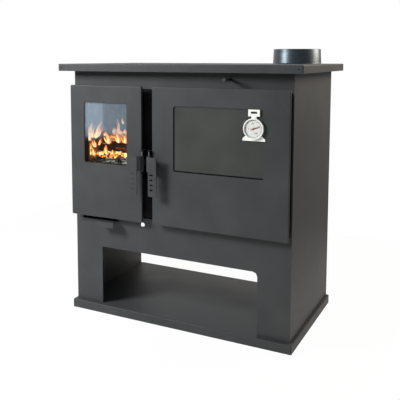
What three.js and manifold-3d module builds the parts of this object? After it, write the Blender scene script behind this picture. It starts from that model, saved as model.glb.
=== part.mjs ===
// Wood cookstove: a casing of folded sheet with a firebox on the left, an oven on the right and a
// wood store below. Millimetres, +Z up, the stove's front faces -Y, and the origin is the middle
// of the base's underside. Depths named "d" are measured back from the casing's front face, and
// "u" is measured sideways from the middle of the gap between the doors, towards one of them.

import * as THREE from 'three';
import { mergeVertices } from 'three/addons/utils/BufferGeometryUtils.js';
import Module from 'manifold-3d';

const wasm = await Module();
wasm.setup();

// ---- clearances ----
const FIT = 0.3;                                   // between pieces that move on each other
const SHEET = 3;                                   // casing sheet
const PLATE = 4;                                   // inner plate
const THROUGH = 1;                                 // how far a cut passes the face it leaves by

// ---- casing ----
const BODY = { w: 770, d: 430 };                   // outside
const BASE = { side: 9, front: 17, back: 5, h: 28 };             // tray, past the casing
const TOP = { side: 37, front: 43, back: 18, h: 24, z: 850 };    // folded top, past the casing
const STORE = { post: 105, z: 227, r: 14 };        // wood store mouth: post beside it, top, corner
const HAT = { foot: 60, shoulder: 42, crown: 36, end: 8 };       // stiffener's half widths
const FLANGE = 15;                                 // side panel's rear flange
const BODY_X = BODY.w / 2;
const FRONT_Y = -(BODY.d + BASE.front + BASE.back) / 2 + BASE.front;
const SHEET_Z = TOP.z - SHEET;                     // underside of the top sheet

// ---- doors ----
const DOOR_OUT = 28;                               // door face ahead of the casing's front
const DOOR = { z: 337, top: 70.5 };                // foot of the doors, and how far below the hob
const DOOR_Z = [DOOR.z, TOP.z - DOOR.top];
const GAP = { x: -86.4, half: 19.2 };              // between the two doors
const SKIN = { fold: 7, corner: 5, bend: 2.5 };    // folded edge of a door's face sheet
const FRAME = { edge: 14, hinge: 20, back: -4, wall: 3, lip: 3, r: 4 };
const HINGE = { in: 9, d: -14, r: 3, low: 16, high: 26, pin: 16 };
const LUG = { t: 6, half: 4.5, nose: 5, bevel: 2 };
const EAR = { t: 5, half: 5, r: 6 };
const GLASS = { t: 4, lap: 13, r: 3 };
const CLAMP = { in: 0.5, w: 11, back: -7 };        // ring that holds a glass in its frame
const SEAL = { hinge: 24, latch: 18.3, z: 18, w: 9, r: 8 };      // rope seal, in from the skin
const CUT = { x: 5, low: 8, high: 9.5, r: 5 };     // casing cut-out, in from the casing and doors

const FIRE_PANE = { in: 1, hinge: 55, latch: 55.9, low: 183, high: 56.5, r: 7 };    // in: from the
const OVEN_PANE = { in: 2, hinge: 77.4, latch: 75.8, low: 178, high: 58.5, r: 7 };  // casing's side
const FIRE_DOOR = door(-1, FIRE_PANE);
const OVEN_DOOR = door(1, OVEN_PANE);
const LUG_Z = [DOOR_Z[0] + HINGE.low, DOOR_Z[1] - HINGE.high];

// ---- latch handles ----
const LATCH = { u: 12.8, d: -DOOR_OUT - 7.4, r: 3, hub: 6.5, z: [512, 559], low: 434 };
const LATCH_EAR = { t: 5, half: 5, below: 9, above: 14, d: [-17, -9] };
const GRIP = { u: GAP.half + 1.3, w: 29, d: -DOOR_OUT - 29, t: 3, r: 2, slots: 4, pitch: 16 };
const HOOK = { z: [525, 545], half: 2, u: 4.5, d: [-12.5, -6] };
const CATCH = { d: -9, r: 4, core: 2, half: 6, front: -16, t: 5, play: 5 };

// ---- inner body ----
const FLOOR_Z = 330;                               // inner floor's underside
const REAR_GAP = 2;                                // between the inner back and the rear panel
const SIDE_GAP = 10;                               // between the inner walls and the side panels
const INNER_X = BODY_X - SHEET - SIDE_GAP;
const INNER_D = [SHEET + PLATE, BODY.d - 2 * SHEET - REAR_GAP - PLATE];
const WALL_X = GAP.x - 31.6;                       // partition between firebox and oven
const BRICK = { t: 30, front: 12, joint: 2, rows: 3 };
const MOUTH = 27;                                  // firebox mouth, in from the walls
const FIRE_X = [-INNER_X + MOUTH, WALL_X - MOUTH];
const GRATE_Z = 462;
const FIRE_TOP = TOP.z - 105;
const LINING_Z = FIRE_TOP - 10;
const BAFFLE = { t: 6, short: 55, front: 70 };
const ASH_Z = [368, 428];
const GRATE = { t: 12, in: 10, front: 30, back: 38, slots: 8, rows: 2, slot: 10, web: 13, r: 8 };
const GRATE_D = [GRATE.front, INNER_D[1] - BRICK.t - GRATE.back];
const LEDGE = { t: 6, in: 20, under: 15 };         // under: how much of the grate lies on it
const ASH_FLOOR = { t: 4, under: 2, air: 6, in: 15, front: 60, back: 78 };
const ASH_PAN = { in: 27, front: 22, back: 48, t: 2, rim: 8, pull: 40, reach: 12, drop: 12 };
const LOGS = [                                     // short: than the firebox, d: behind the grate
  { name: 'log_front', short: 8, r: 34, seed: 0.4, d: 22, turn: 0, tilt: 0 },
  { name: 'log_rear', short: 12, r: 36, seed: 1.7, d: 96, turn: 0, tilt: 0 },
  { name: 'log_top', short: 12, r: 25, seed: 2.6, d: 57, turn: 0.04, tilt: 0.02 },
  { name: 'log_back', short: 22, r: 21, seed: 4.1, d: 104, turn: -0.12, tilt: 0.1 },
];
const OVEN = { left: 88, right: 42, z: [430, FIRE_TOP], back: 73, t: 2, r: 8 };
const OVEN_X = [WALL_X + OVEN.left, INNER_X - OVEN.right];
const OVEN_D = INNER_D[1] - OVEN.back;
const SHELF = { z: 500, t: 6, wires: 16, wire: 3, play: 4 };
const RUNNER = { out: 15, foot: 14, lip: 4, front: 13 };         // pressed in the oven's sides

// ---- top ----
const HOB = { left: 33, right: 225, d: 35, t: 8, ledge: 14, r: 6 };      // in from the casing
const HOB_X = [-BODY_X + HOB.left, BODY_X - HOB.right];
const HOB_D = [HOB.d, BODY.d - HOB.d];
const RING = { x: HOB_X[0] + 117, d: BODY.d / 2 - 10, r: 105, lid: 62, step: 7, play: 0.4 };
const LIFT = { from: 24, to: 8, half: 5 };         // recess in the lid, in from its rim
const FLUE = { x: BODY_X - 94, d: BODY.d - 96, r: 80, top: 78, wall: 4, h: 49, weld: 3, round: 1.5 };
const CORNER = { hole: 2.6, in: 14, down: 13, deep: 5, notch: 2, cut: 1.2 };   // marks on the top

// ---- controls ----
const DAMPER = { x: FLUE.x - 102, z: TOP.z - 45, r: 4, knob: 6.5, out: 52, t: 3, play: 1 };
const DUCT = { t: 3, lip: 14, left: 11, front: 84, under: 7, side: 4.5, mouth: 3.5, inlet: 20 };
const DUCT_X = [DAMPER.x - DUCT.left, INNER_X - DUCT.side];
const DUCT_D = [FLUE.d - DUCT.front, INNER_D[1]];
const SLOT = { in: 27, w: 136, under: 10, h: 8, r: 2 };          // air slot in the front panel
const SLOT_X = [-BODY_X + SLOT.in, -BODY_X + SLOT.in + SLOT.w];
const SLOT_Z = [FLOOR_Z - SLOT.under, FLOOR_Z - SLOT.under + SLOT.h];
const SLIDER = { t: 3, travel: 60, w: 106, d: [12, 82], neck: 59, out: 35, lip: 18, lift: 1.5 };
const SLIDER_X = [SLOT_X[1] + 26 - SLIDER.w, SLOT_X[1] + 26];
const TAB_X = [SLOT_X[1] - SLIDER.travel - 1, SLOT_X[1] + 10];   // bent tab, ahead of the panel
const SLIDER_Z = SLOT_Z[0] + SLIDER.lift;
const AIR = { in: 18, d: 50, r: 6, pitch: 22, n: 4 };            // holes in the slider and floor
const TRAY = { wall: 10, end: 16, sheet: 3, side: 2, bed: 8, d: [4, 96] };
const AIR_HOLE = { u: 35.6, half: 10, h: 13.5, r: 6 };           // under the door gap
const VENT = { n: 7, edge: 88, half: 26, h: 3, low: 28, high: 40 };    // cooling slots at the rear

// ---- oven thermometer ----
const THERMO = {
  x: OVEN_DOOR.win[1] - 31.1, z: OVEN_DOOR.winZ[1] - 56.5, r: 31, d: -DOOR_OUT - 0.3, deep: 8,
  rim: 3, floor: 2.5, plate: 1.5, stud: 4, spacer: 8, nut: 5,
};
const STAND = [[35, -36], [35, -30], [24, -20], [20, 15], [8, 28], [8, 36], [18, 36], [18, 56]];

/** Outline of a door and its window, from the margins between the skin's edges and the window. */
function door(side, { in: inset, hinge, latch, low, high, r }) {
  const outer = (BODY_X - inset) * side, inner = GAP.x + GAP.half * side;
  return {
    side, x: span(outer, inner), hingeX: outer - HINGE.in * side, latchX: inner, outer, r,
    win: span(outer - hinge * side, inner + latch * side), winZ: [DOOR_Z[0] + low, DOOR_Z[1] - high],
  };
}

// ======== solids ========

/** The y of a depth behind the casing's front. */
function Y(d) {
  return FRONT_Y + d;
}

/** Two numbers in rising order. */
function span(a, b) {
  return [Math.min(a, b), Math.max(a, b)];
}

/** A span made wider at both ends, or narrower by a negative amount. */
function grow([a, b], by) {
  return [a - by, b + by];
}

/** A manifold solid from a three.js geometry that is one closed surface. */
function solid(geometry) {
  const bare = geometry.clone();
  bare.deleteAttribute('normal');
  bare.deleteAttribute('uv');
  const merged = mergeVertices(bare, 1e-4);
  return new wasm.Manifold(new wasm.Mesh({
    numProp: 3,
    vertProperties: new Float32Array(merged.attributes.position.array),
    triVerts: new Uint32Array(merged.index.array),
  }));
}

/** A box between two x, two depths and two z. */
function box(x, d, z) {
  const g = new THREE.BoxGeometry(x[1] - x[0], d[1] - d[0], z[1] - z[0]);
  return solid(g.translate((x[0] + x[1]) / 2, Y((d[0] + d[1]) / 2), (z[0] + z[1]) / 2));
}

const ALONG_X = new THREE.Matrix4().makeBasis(
  new THREE.Vector3(0, 1, 0), new THREE.Vector3(0, 0, 1), new THREE.Vector3(1, 0, 0));

/** Turns a geometry drawn in a shape's plane so that the shape's normal is the axis named. */
function stand(geometry, axis, from, to) {
  if (axis === 'z') return geometry.translate(0, 0, from);
  if (axis === 'y') return geometry.rotateX(Math.PI / 2).translate(0, Y(to), 0);
  return geometry.applyMatrix4(ALONG_X).translate(from, 0, 0);
}

/** A flat shape given a thickness along an axis. Shapes are (x, y), (x, z) or (y, z). */
function slab(axis, shape, from, to, curve = 3) {
  const g = new THREE.ExtrudeGeometry(shape, {
    depth: to - from, bevelEnabled: false, curveSegments: curve,
  });
  return solid(stand(g, axis, from, to));
}

/** A rectangle with rounded corners, from two spans. */
function rect([x0, x1], [y0, y1], r) {
  const s = new THREE.Shape();
  s.moveTo(x0 + r, y0);
  s.lineTo(x1 - r, y0).absarc(x1 - r, y0 + r, r, -Math.PI / 2, 0);
  s.lineTo(x1, y1 - r).absarc(x1 - r, y1 - r, r, 0, Math.PI / 2);
  s.lineTo(x0 + r, y1).absarc(x0 + r, y1 - r, r, Math.PI / 2, Math.PI);
  s.lineTo(x0, y0 + r).absarc(x0 + r, y0 + r, r, Math.PI, Math.PI * 1.5);
  return s;
}

/** A closed polygon shape from a list of points. */
function poly(points) {
  return new THREE.Shape(points.map(([x, y]) => new THREE.Vector2(x, y)));
}

/** A polygon of (u, d) points beside the door gap, seen from above, on one side of it. */
function beside(side, points) {
  const placed = points.map(([u, d]) => [GAP.x + u * side, Y(d)]);
  return poly(side > 0 ? placed : placed.reverse());
}

/** A round bar along an axis, centred on the two other coordinates. */
function bar(axis, a, b, r, from, to, sides = 24) {
  const g = new THREE.CylinderGeometry(r, r, to - from, sides);
  const mid = (from + to) / 2;
  if (axis === 'z') return solid(g.rotateX(Math.PI / 2).translate(a, Y(b), mid));
  return solid(g.translate(a, Y(mid), b));
}

/** A turned body: the profile is [radius, height] pairs and the axis is z at (x, d). */
function turned(points, x, d, sides = 48) {
  const g = new THREE.LatheGeometry(points.map(([r, h]) => new THREE.Vector2(r, h)), sides);
  return solid(g.rotateX(Math.PI / 2).translate(x, Y(d), 0));
}

/** A sheet pan: its face has rounded bends along every edge, and it is open at the back. */
function pan(axis, a, b, { corner, bend, face, open, t }) {
  const up = face > open, depth = Math.abs(face - open);
  const shape = rect(grow(a, -bend), grow(b, -bend), Math.max(corner - bend, 0.6));
  const g = new THREE.ExtrudeGeometry(shape, {
    depth, bevelEnabled: true, bevelSize: bend, bevelThickness: bend, bevelSegments: 3, curveSegments: 3,
  });
  const low = up ? open - bend : face + bend;
  const outer = solid(stand(g, axis, low, low + depth));
  const past = 20;
  const hollow = rect(grow(a, -t), grow(b, -t), Math.max(corner - t, 0.8));
  const inner = up ? slab(axis, hollow, open - past, face - t) : slab(axis, hollow, face + t, open + past);
  const around = rect(grow(a, THROUGH), grow(b, THROUGH), 0.5);
  const keep = up ? slab(axis, around, open, face + THROUGH) : slab(axis, around, face - THROUGH, open);
  return outer.intersect(keep).subtract(inner);
}

/** A rectangular ring lying square to the depth axis: its band is w wide inside two spans. */
function ring(x, z, w, d, corner) {
  const outer = slab('y', rect(x, z, corner), ...d);
  const hole = rect(grow(x, -w), grow(z, -w), Math.max(corner - 2, 1));
  return outer.subtract(slab('y', hole, ...grow(d, THROUGH)));
}

// ======== materials and meshes ========

const PAINTS = {
  casing: [0x4a4b4d, 0.35, 0.45], black: [0x1b1b1c, 0.3, 0.6], cast: [0x2c2c2d, 0.5, 0.55],
  glass: [0x20262a, 0, 0.08], steel: [0xb9bbbd, 0.95, 0.3], brick: [0xb89b78, 0, 0.9],
  rope: [0x262626, 0, 0.95], log: [0x4b3524, 0, 0.9], oven: [0x6d6f71, 0.8, 0.4],
  dial: [0xe9e8e2, 0, 0.5], needle: [0x7d2f23, 0, 0.5], collar: [0x3a3c3f, 0.7, 0.3],
};
const materials = {};
for (const [name, [color, metalness, roughness]] of Object.entries(PAINTS)) {
  materials[name] = new THREE.MeshStandardMaterial({ name, color, metalness, roughness });
}
materials.glass.transparent = true;
materials.glass.opacity = 0.35;

const root = new THREE.Group();
root.name = 'wood_cookstove';

/** Adds one solid to the stove as a named node. */
function add(name, body, paint) {
  const m = body.getMesh();
  const g = new THREE.BufferGeometry();
  g.setAttribute('position', new THREE.BufferAttribute(new Float32Array(m.vertProperties), 3));
  g.setIndex(new THREE.BufferAttribute(new Uint32Array(m.triVerts), 1));
  g.computeVertexNormals();
  const mesh = new THREE.Mesh(g, materials[paint]);
  mesh.name = name;
  root.add(mesh);
}

// ======== casing ========

/** Folded tray the stove stands on, with a hat-section stiffener under its middle. */
function buildBase() {
  const x = [-BODY_X - BASE.side, BODY_X + BASE.side];
  const y = [Y(-BASE.front), Y(BODY.d + BASE.back)];
  add('base_tray', pan('z', x, y, { corner: 4, bend: 3, face: BASE.h, open: 0, t: SHEET }), 'casing');
  const { foot, shoulder, crown, end } = HAT;
  const z = BASE.h - SHEET;
  const half = [[crown, 0], [shoulder, z - SHEET], [foot, z - SHEET], [foot, z], [shoulder - SHEET, z],
    [crown - SHEET, SHEET]];
  const mirrored = half.map(([y0, z0]) => [-y0, z0]).reverse();
  const middle = (y[0] + y[1]) / 2;
  const hat = poly([...half, ...mirrored].map(([y0, z0]) => [middle + y0, z0]));
  add('base_stiffener', slab('x', hat, x[0] + end, x[1] - end), 'black');
}

/** Side panel with a folded flange along the rear edge, above the open wood store. */
function buildSide(name, side) {
  const x = span((BODY_X - SHEET) * side, BODY_X * side);
  const flangeX = span((BODY_X - SHEET - FLANGE) * side, (BODY_X - SHEET / 2) * side);
  const panel = box(x, [SHEET, BODY.d], [BASE.h, SHEET_Z]);
  const flange = box(flangeX, [BODY.d - SHEET, BODY.d], [SLOT_Z[0], SHEET_Z]);
  add(name, panel.add(flange), 'casing');
}

/** Front panel: door cut-out, wood store mouth, air slot, damper hole and air hole. */
function buildFront() {
  const through = grow([0, SHEET], THROUGH);
  const half = BODY_X - STORE.post, { z, r } = STORE, bow = r * 0.3;
  const mouth = poly([[-half, BASE.h - THROUGH], [half, BASE.h - THROUGH], [half, z - r],
    [half - bow, z - bow], [half - r, z], [-half, z]]);
  const airHole = rect([GAP.x - AIR_HOLE.u - AIR_HOLE.half, GAP.x - AIR_HOLE.u + AIR_HOLE.half],
    [FLOOR_Z - AIR_HOLE.h, FLOOR_Z], AIR_HOLE.r);
  const cuts = [
    slab('y', rect([-BODY_X + CUT.x, BODY_X - CUT.x], [DOOR_Z[0] + CUT.low, DOOR_Z[1] - CUT.high], CUT.r),
      ...through),
    slab('y', mouth, ...through),
    slab('y', rect(SLOT_X, SLOT_Z, SLOT.r), ...through),
    slab('y', airHole, ...through),
    bar('y', DAMPER.x, DAMPER.z, DAMPER.r + 1, ...through),
  ];
  let panel = slab('y', rect([-BODY_X, BODY_X], [BASE.h, SHEET_Z], 0.8), 0, SHEET);
  for (const cut of cuts) panel = panel.subtract(cut);
  add('front_panel', panel, 'casing');
}

/** Rear panel over the inner body, with a row of cooling slots near its foot and its head. */
function buildRear() {
  const edge = BODY_X - SHEET - 1, pitch = (2 * (edge - VENT.edge)) / (VENT.n - 1);
  const d = [BODY.d - 2 * SHEET, BODY.d - SHEET], z = [SLOT_Z[0] + 2, SHEET_Z - 1];
  let panel = box([-edge, edge], d, z);
  for (const row of [z[0] + VENT.low, z[1] - VENT.high]) {
    for (let i = 0; i < VENT.n; i += 1) {
      const x = i * pitch - edge + VENT.edge;
      const slot = rect(grow([x, x], VENT.half), grow([row, row], VENT.h), VENT.h - 0.1);
      panel = panel.subtract(slab('y', slot, ...grow(d, THROUGH), 2));
    }
  }
  add('rear_panel', panel, 'casing');
}

/** Rounded rectangle of the hob opening, grown or shrunk. */
function hobShape(by, r) {
  return rect(grow(HOB_X, by), grow([Y(HOB_D[0]), Y(HOB_D[1])], by), r);
}

/** Folded top with the hob opening, its seat, the flue hole and two holes in the front edge. */
function buildTop() {
  const x = [-BODY_X - TOP.side, BODY_X + TOP.side];
  const y = [Y(-TOP.front), Y(BODY.d + TOP.back)];
  const z = TOP.z, seat = z - HOB.t;
  let top = pan('z', x, y, { corner: 4, bend: 3, face: z, open: z - TOP.h, t: SHEET });
  top = top.add(slab('z', hobShape(SHEET, HOB.r + SHEET), seat - SHEET, z - 1));
  top = top.subtract(slab('z', hobShape(0.5, HOB.r), seat, z + THROUGH));
  top = top.subtract(slab('z', hobShape(-HOB.ledge, HOB.r), seat - SHEET - THROUGH, z + THROUGH));
  top = top.subtract(bar('z', FLUE.x, FLUE.d, FLUE.r - FLUE.wall, z - SHEET - THROUGH, z + THROUGH, 48));
  const { hole, down, deep, notch, cut } = CORNER, holeD = [-TOP.front - THROUGH, -TOP.front + deep];
  for (const cx of grow(x, -CORNER.in)) top = top.subtract(bar('y', cx, z - down, hole, ...holeD, 14));
  for (const cx of x) {
    for (const cy of y) top = top.subtract(bar('z', cx, cy - FRONT_Y, notch, z - cut, z + THROUGH, 12));
  }
  add('top_frame', top, 'casing');
}

// ======== hob and flue ========

/** Hob plate with a stepped round hole, the ring in it and the lid in the ring. */
function buildHob() {
  const z = TOP.z, half = z - HOB.t / 2, low = z - HOB.t;
  const { x, d, r, lid, step, play } = RING;
  let plate = slab('z', hobShape(0, HOB.r - 0.5), low, z);
  plate = plate.subtract(bar('z', x, d, r, half, z + THROUGH, 48));
  plate = plate.subtract(bar('z', x, d, r - step, low - THROUGH, z, 48));
  add('hob_plate', plate, 'cast');
  add('hob_ring', turned([[lid - step, low], [r - step - play, low], [r - step - play, half],
    [r - play, half], [r - play, z], [lid, z], [lid, half], [lid - step, half], [lid - step, low]],
  x, d), 'cast');
  const cap = turned([[0, low], [lid - step - play, low], [lid - step - play, half],
    [lid - play, half], [lid - play, z], [0, z]], x, d);
  const recessX = [x + lid - LIFT.from, x + lid - LIFT.to];
  const recess = rect(recessX, grow([Y(d), Y(d)], LIFT.half), LIFT.half - 0.5);
  add('hob_lid', cap.subtract(slab('z', recess, half, z + THROUGH)), 'cast');
}

/** Flue spigot: a tapering tube with a small weld fillet where it stands on the top. */
function buildFlue() {
  const { r, top, wall, h, weld, round } = FLUE, foot = TOP.z, rim = TOP.z + h;
  add('flue_collar', turned([[r - wall, foot], [r + weld, foot], [r + weld / 3, foot + weld / 3],
    [r, foot + weld], [top, rim - round], [top - 1, rim], [top - wall + 1, rim],
    [top - wall, rim - round], [r - wall, foot]], FLUE.x, FLUE.d, 56), 'collar');
}

/** Box below the flue, whose floor is open inside a lip that the damper plate lies over. */
function buildDuct() {
  const { t, lip, mouth, inlet } = DUCT, x = DUCT_X, d = DUCT_D;
  const bed = DAMPER.z - DAMPER.t / 2 - 0.5, floor = DAMPER.z - DUCT.under;
  const head = DAMPER.z + DAMPER.t / 2 + mouth;
  let duct = box(x, d, [floor, SHEET_Z]);
  duct = duct.subtract(box(grow(x, -t), grow(d, -t), [bed, SHEET_Z + THROUGH]));
  duct = duct.subtract(box(grow(x, -lip), grow(d, -lip), [floor - THROUGH, SHEET_Z]));
  duct = duct.subtract(box(grow(x, -t - 1), [d[0] - THROUGH, d[0] + t + 2], [bed, head]));
  duct = duct.subtract(bar('y', DAMPER.x, DAMPER.z, DAMPER.r + 1, d[0] - THROUGH, d[0] + t + 2));
  duct = duct.subtract(box([x[1] - t - 2, x[1] + THROUGH], grow(d, -inlet), [head + t, SHEET_Z - 2 * mouth]));
  add('flue_box', duct, 'black');
}

/** Damper plate, and the rod that draws it forwards, with its turned knob. */
function buildDamper() {
  const { x, z, r, knob, out, t, play } = DAMPER;
  const d = [DUCT_D[0] + DUCT.t + play, DUCT_D[1] - DUCT.t - 2 * play];
  add('damper_plate', box(grow(DUCT_X, -DUCT.t - 2 * play), d, [z - t / 2, z + t / 2]), 'black');
  const profile = [[0, 0], [knob - 1.5, 0], [knob, 1.5], [knob, 7], [knob - 1, 9], [knob - 2, 10], [0, 10]];
  const head = new THREE.LatheGeometry(profile.map(([a, b]) => new THREE.Vector2(a, b)), 24);
  const rod = bar('y', x, z, r, -out + 8, d[0]);
  add('damper_rod', rod.add(solid(head.translate(x, Y(-out), z))), 'casing');
}

// ======== inner body ========

/** Lug that carries a door's hinge pin, welded to the face plate. */
function hingeLug(x, z) {
  const { half, nose, bevel, t } = LUG, y = Y(HINGE.d), root_ = Y(SHEET + 1);
  const shape = poly([[x - half, y - nose + bevel], [x - half + bevel, y - nose],
    [x + half - bevel, y - nose], [x + half, y - nose + bevel], [x + half, root_], [x - half, root_]]);
  return slab('z', shape, z, z + t);
}

/** The catch's two ears on the face plate, and the spans of its roller and core. */
function catchParts() {
  const low = [HOOK.z[0] - CATCH.play - CATCH.t, HOOK.z[0] - CATCH.play];
  const high = [HOOK.z[1] + CATCH.play + 1, HOOK.z[1] + CATCH.play + 1 + CATCH.t];
  return { ears: [low, high], roller: [low[1] + FIT, high[0] - FIT], core: [low[0], high[1]] };
}

/** Black face plate behind both doors, with the hinge lugs and the catch ears. */
function buildFacePlate() {
  const d = [SHEET, SHEET + PLATE], through = grow(d, THROUGH);
  const edge = BODY_X - SHEET - 2;
  let face = slab('y', rect([-edge, edge], [FLOOR_Z + PLATE, SHEET_Z], 1), ...d);
  for (const [x, z] of [[FIRE_X, ASH_Z], [FIRE_X, [GRATE_Z, FIRE_TOP]], [OVEN_X, OVEN.z]]) {
    face = face.subtract(slab('y', rect(x, z, OVEN.r), ...through));
  }
  face = face.subtract(bar('y', DAMPER.x, DAMPER.z, DAMPER.r + 1, ...through));
  for (const { hingeX } of [FIRE_DOOR, OVEN_DOOR]) {
    for (const z of LUG_Z) {
      face = face.add(hingeLug(hingeX, z));
      face = face.subtract(bar('z', hingeX, HINGE.d, HINGE.r, z - 1, z + LUG.t + 1));
    }
  }
  const { ears, roller, core } = catchParts();
  const earX = [GAP.x - CATCH.half, GAP.x + CATCH.half];
  for (const z of ears) face = face.add(box(earX, [CATCH.front, SHEET + 1], z));
  face = face.subtract(bar('z', GAP.x, CATCH.d, CATCH.core, ...grow(core, THROUGH), 16));
  add('face_plate', face, 'black');
  const spindle = bar('z', GAP.x, CATCH.d, CATCH.core, ...core, 16);
  add('catch_roller', spindle.add(bar('z', GAP.x, CATCH.d, CATCH.r, ...roller, 20)), 'steel');
}

/** The row of round air holes, as cutters between two heights. */
function airHoles(z) {
  const x = SLIDER_X[0] + AIR.in;
  return Array.from({ length: AIR.n }, (_, i) => bar('z', x + i * AIR.pitch, AIR.d, AIR.r, ...z, 20));
}

/** Floor, walls and partition of the inner body. */
function buildInnerBody() {
  const z = [FLOOR_Z + PLATE, SHEET_Z], d = INNER_D, inside = BODY_X - SHEET;
  let floor = box([-inside, inside], [SHEET, d[1] + PLATE], [FLOOR_Z, z[0]]);
  for (const hole of airHoles([FLOOR_Z - THROUGH, z[0] + THROUGH])) floor = floor.subtract(hole);
  add('inner_floor', floor, 'black');
  add('inner_wall_left', box([-INNER_X, -INNER_X + PLATE], d, z), 'black');
  add('inner_wall_right', box([INNER_X - PLATE, INNER_X], d, z), 'black');
  add('inner_back', box([-INNER_X, INNER_X], [d[1], d[1] + PLATE], z), 'black');
  add('partition', box([WALL_X, WALL_X + PLATE], d, [z[0], LINING_Z]), 'black');
}

// ======== firebox ========

/** A brick wall with level joint grooves cut in the face that looks at the fire. */
function brickWall(x, d, axis, face) {
  const z = [GRATE_Z, LINING_Z], groove = grow([face, face], BRICK.joint);
  let wall = box(x, d, z);
  for (let i = 1; i < BRICK.rows; i += 1) {
    const h = z[0] + ((z[1] - z[0]) * i) / BRICK.rows;
    const cut = [h, h + BRICK.joint];
    const [cutX, cutD] = axis === 'x' ? [groove, grow(d, THROUGH)] : [grow(x, THROUGH), groove];
    wall = wall.subtract(box(cutX, cutD, cut));
  }
  return wall;
}

/** Firebrick lining on three sides, and the baffle that lies on it. */
function buildBricks() {
  const x = [-INNER_X + PLATE, WALL_X], d = [BRICK.front, INNER_D[1]];
  const left = [x[0], x[0] + BRICK.t], right = [x[1] - BRICK.t, x[1]], back = [d[1] - BRICK.t, d[1]];
  add('firebrick_left', brickWall(left, d, 'x', left[1]), 'brick');
  add('firebrick_right', brickWall(right, d, 'x', right[0]), 'brick');
  add('firebrick_back', brickWall([left[1], right[0]], back, 'y', back[0]), 'brick');
  const baffle = box([x[0], x[1] - BAFFLE.short], [BAFFLE.front, d[1]], [LINING_Z, LINING_Z + BAFFLE.t]);
  add('baffle', baffle, 'cast');
}

/** Grate with two rows of slots, on its ledge. */
function buildGrate() {
  const x = [-INNER_X + PLATE, WALL_X], ledgeZ = [GRATE_Z - LEDGE.t, GRATE_Z];
  const open = box(grow(FIRE_X, -LEDGE.in), grow(GRATE_D, -LEDGE.under), grow(ledgeZ, THROUGH));
  add('grate_ledge', box(x, INNER_D, ledgeZ).subtract(open), 'black');
  const gx = grow(FIRE_X, -GRATE.in), z = [GRATE_Z, GRATE_Z + GRATE.t];
  const pitch = (gx[1] - gx[0]) / (GRATE.slots + 1);
  const long = (GRATE_D[1] - GRATE_D[0] - GRATE.web * (GRATE.rows + 1)) / GRATE.rows;
  let grate = slab('z', rect(gx, GRATE_D.map(Y), GRATE.r), ...z);
  for (let row = 0; row < GRATE.rows; row += 1) {
    const y = Y(GRATE_D[0] + GRATE.web + row * (long + GRATE.web));
    for (let i = 1; i <= GRATE.slots; i += 1) {
      const cx = gx[0] + i * pitch;
      const slot = rect([cx - GRATE.slot / 2, cx + GRATE.slot / 2], [y, y + long], GRATE.slot / 2 - 1);
      grate = grate.subtract(slab('z', slot, ...grow(z, THROUGH), 1));
    }
  }
  add('grate', grate, 'cast');
}

/** Ash floor with an air slot beside each side of the pan, and the open-topped ash pan. */
function buildAsh() {
  const { under, air, front, back } = ASH_FLOOR, top = ASH_Z[0] - under;
  const x = [-INNER_X + PLATE, WALL_X], floorZ = [top - ASH_FLOOR.t, top];
  let floor = box(x, INNER_D, floorZ);
  for (const cx of grow(FIRE_X, -ASH_FLOOR.in)) {
    floor = floor.subtract(box(grow([cx, cx], air), [front, INNER_D[1] - back], grow(floorZ, THROUGH)));
  }
  add('ash_floor', floor, 'black');
  const { t, rim, pull, reach, drop } = ASH_PAN, px = grow(FIRE_X, -ASH_PAN.in);
  const d = [ASH_PAN.front, INNER_D[1] - ASH_PAN.back];
  const z = [floorZ[1], ASH_Z[1] - rim], middle = (px[0] + px[1]) / 2;
  const inner = box(grow(px, -t), grow(d, -t), [z[0] + t, z[1] + THROUGH]);
  const pullX = grow([middle, middle], pull), foot = z[1] - drop - t;
  const shelf = box(pullX, [d[0] - reach, d[0] + t / 2], [foot, foot + t]);
  const lip = box(pullX, [d[0] - reach, d[0] - reach + t], [z[1] - 2 * drop, foot + t / 2]);
  add('ash_pan', box(px, d, z).subtract(inner).add(shelf).add(lip), 'oven');
}

/** A split log: an uneven prism along x, tilted about y and then turned about z. */
function log({ r, seed, turn, tilt }, long) {
  const sides = 11;
  const points = Array.from({ length: sides }, (_, i) => {
    const a = (i / sides) * Math.PI * 2;
    const bark = 1 + 0.07 * Math.sin(3 * a + seed) + 0.05 * Math.sin(7 * a + 2 * seed);
    const split = Math.sin(a) > 0.2 ? 0.82 : 1;
    return [Math.cos(a) * r * bark * split, Math.sin(a) * r * bark * split];
  });
  const g = new THREE.ExtrudeGeometry(poly(points), { depth: long, bevelEnabled: false });
  return g.translate(0, 0, -long / 2).applyMatrix4(ALONG_X).rotateY(tilt).rotateZ(turn);
}

/** Four logs on the grate: two side by side, and two that lie in and across the groove. */
function buildLogs() {
  const bed = GRATE_Z + GRATE.t, inside = [-INNER_X + PLATE + BRICK.t, WALL_X - BRICK.t];
  const middle = (inside[0] + inside[1]) / 2;
  const laid = [];
  for (const spec of LOGS) {
    const g = log(spec, inside[1] - inside[0] - spec.short);
    g.computeBoundingBox();
    const at = (z) => solid(g.clone().translate(middle, Y(GRATE_D[0] + spec.d), z));
    const cuts = (z) => laid.some((other) => at(z).intersect(other).volume() > 1e-6);
    let low = bed - g.boundingBox.min.z, high = low;
    if (laid.length > 1) {
      low += spec.r;
      high = low + 4 * spec.r;
      while (high - low > 0.05) {
        const mid = (low + high) / 2;
        if (cuts(mid)) low = mid;
        else high = mid;
      }
      high += 0.1;
    }
    laid.push(at(high));
    add(spec.name, laid[laid.length - 1], 'log');
  }
}

// ======== oven ========

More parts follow.
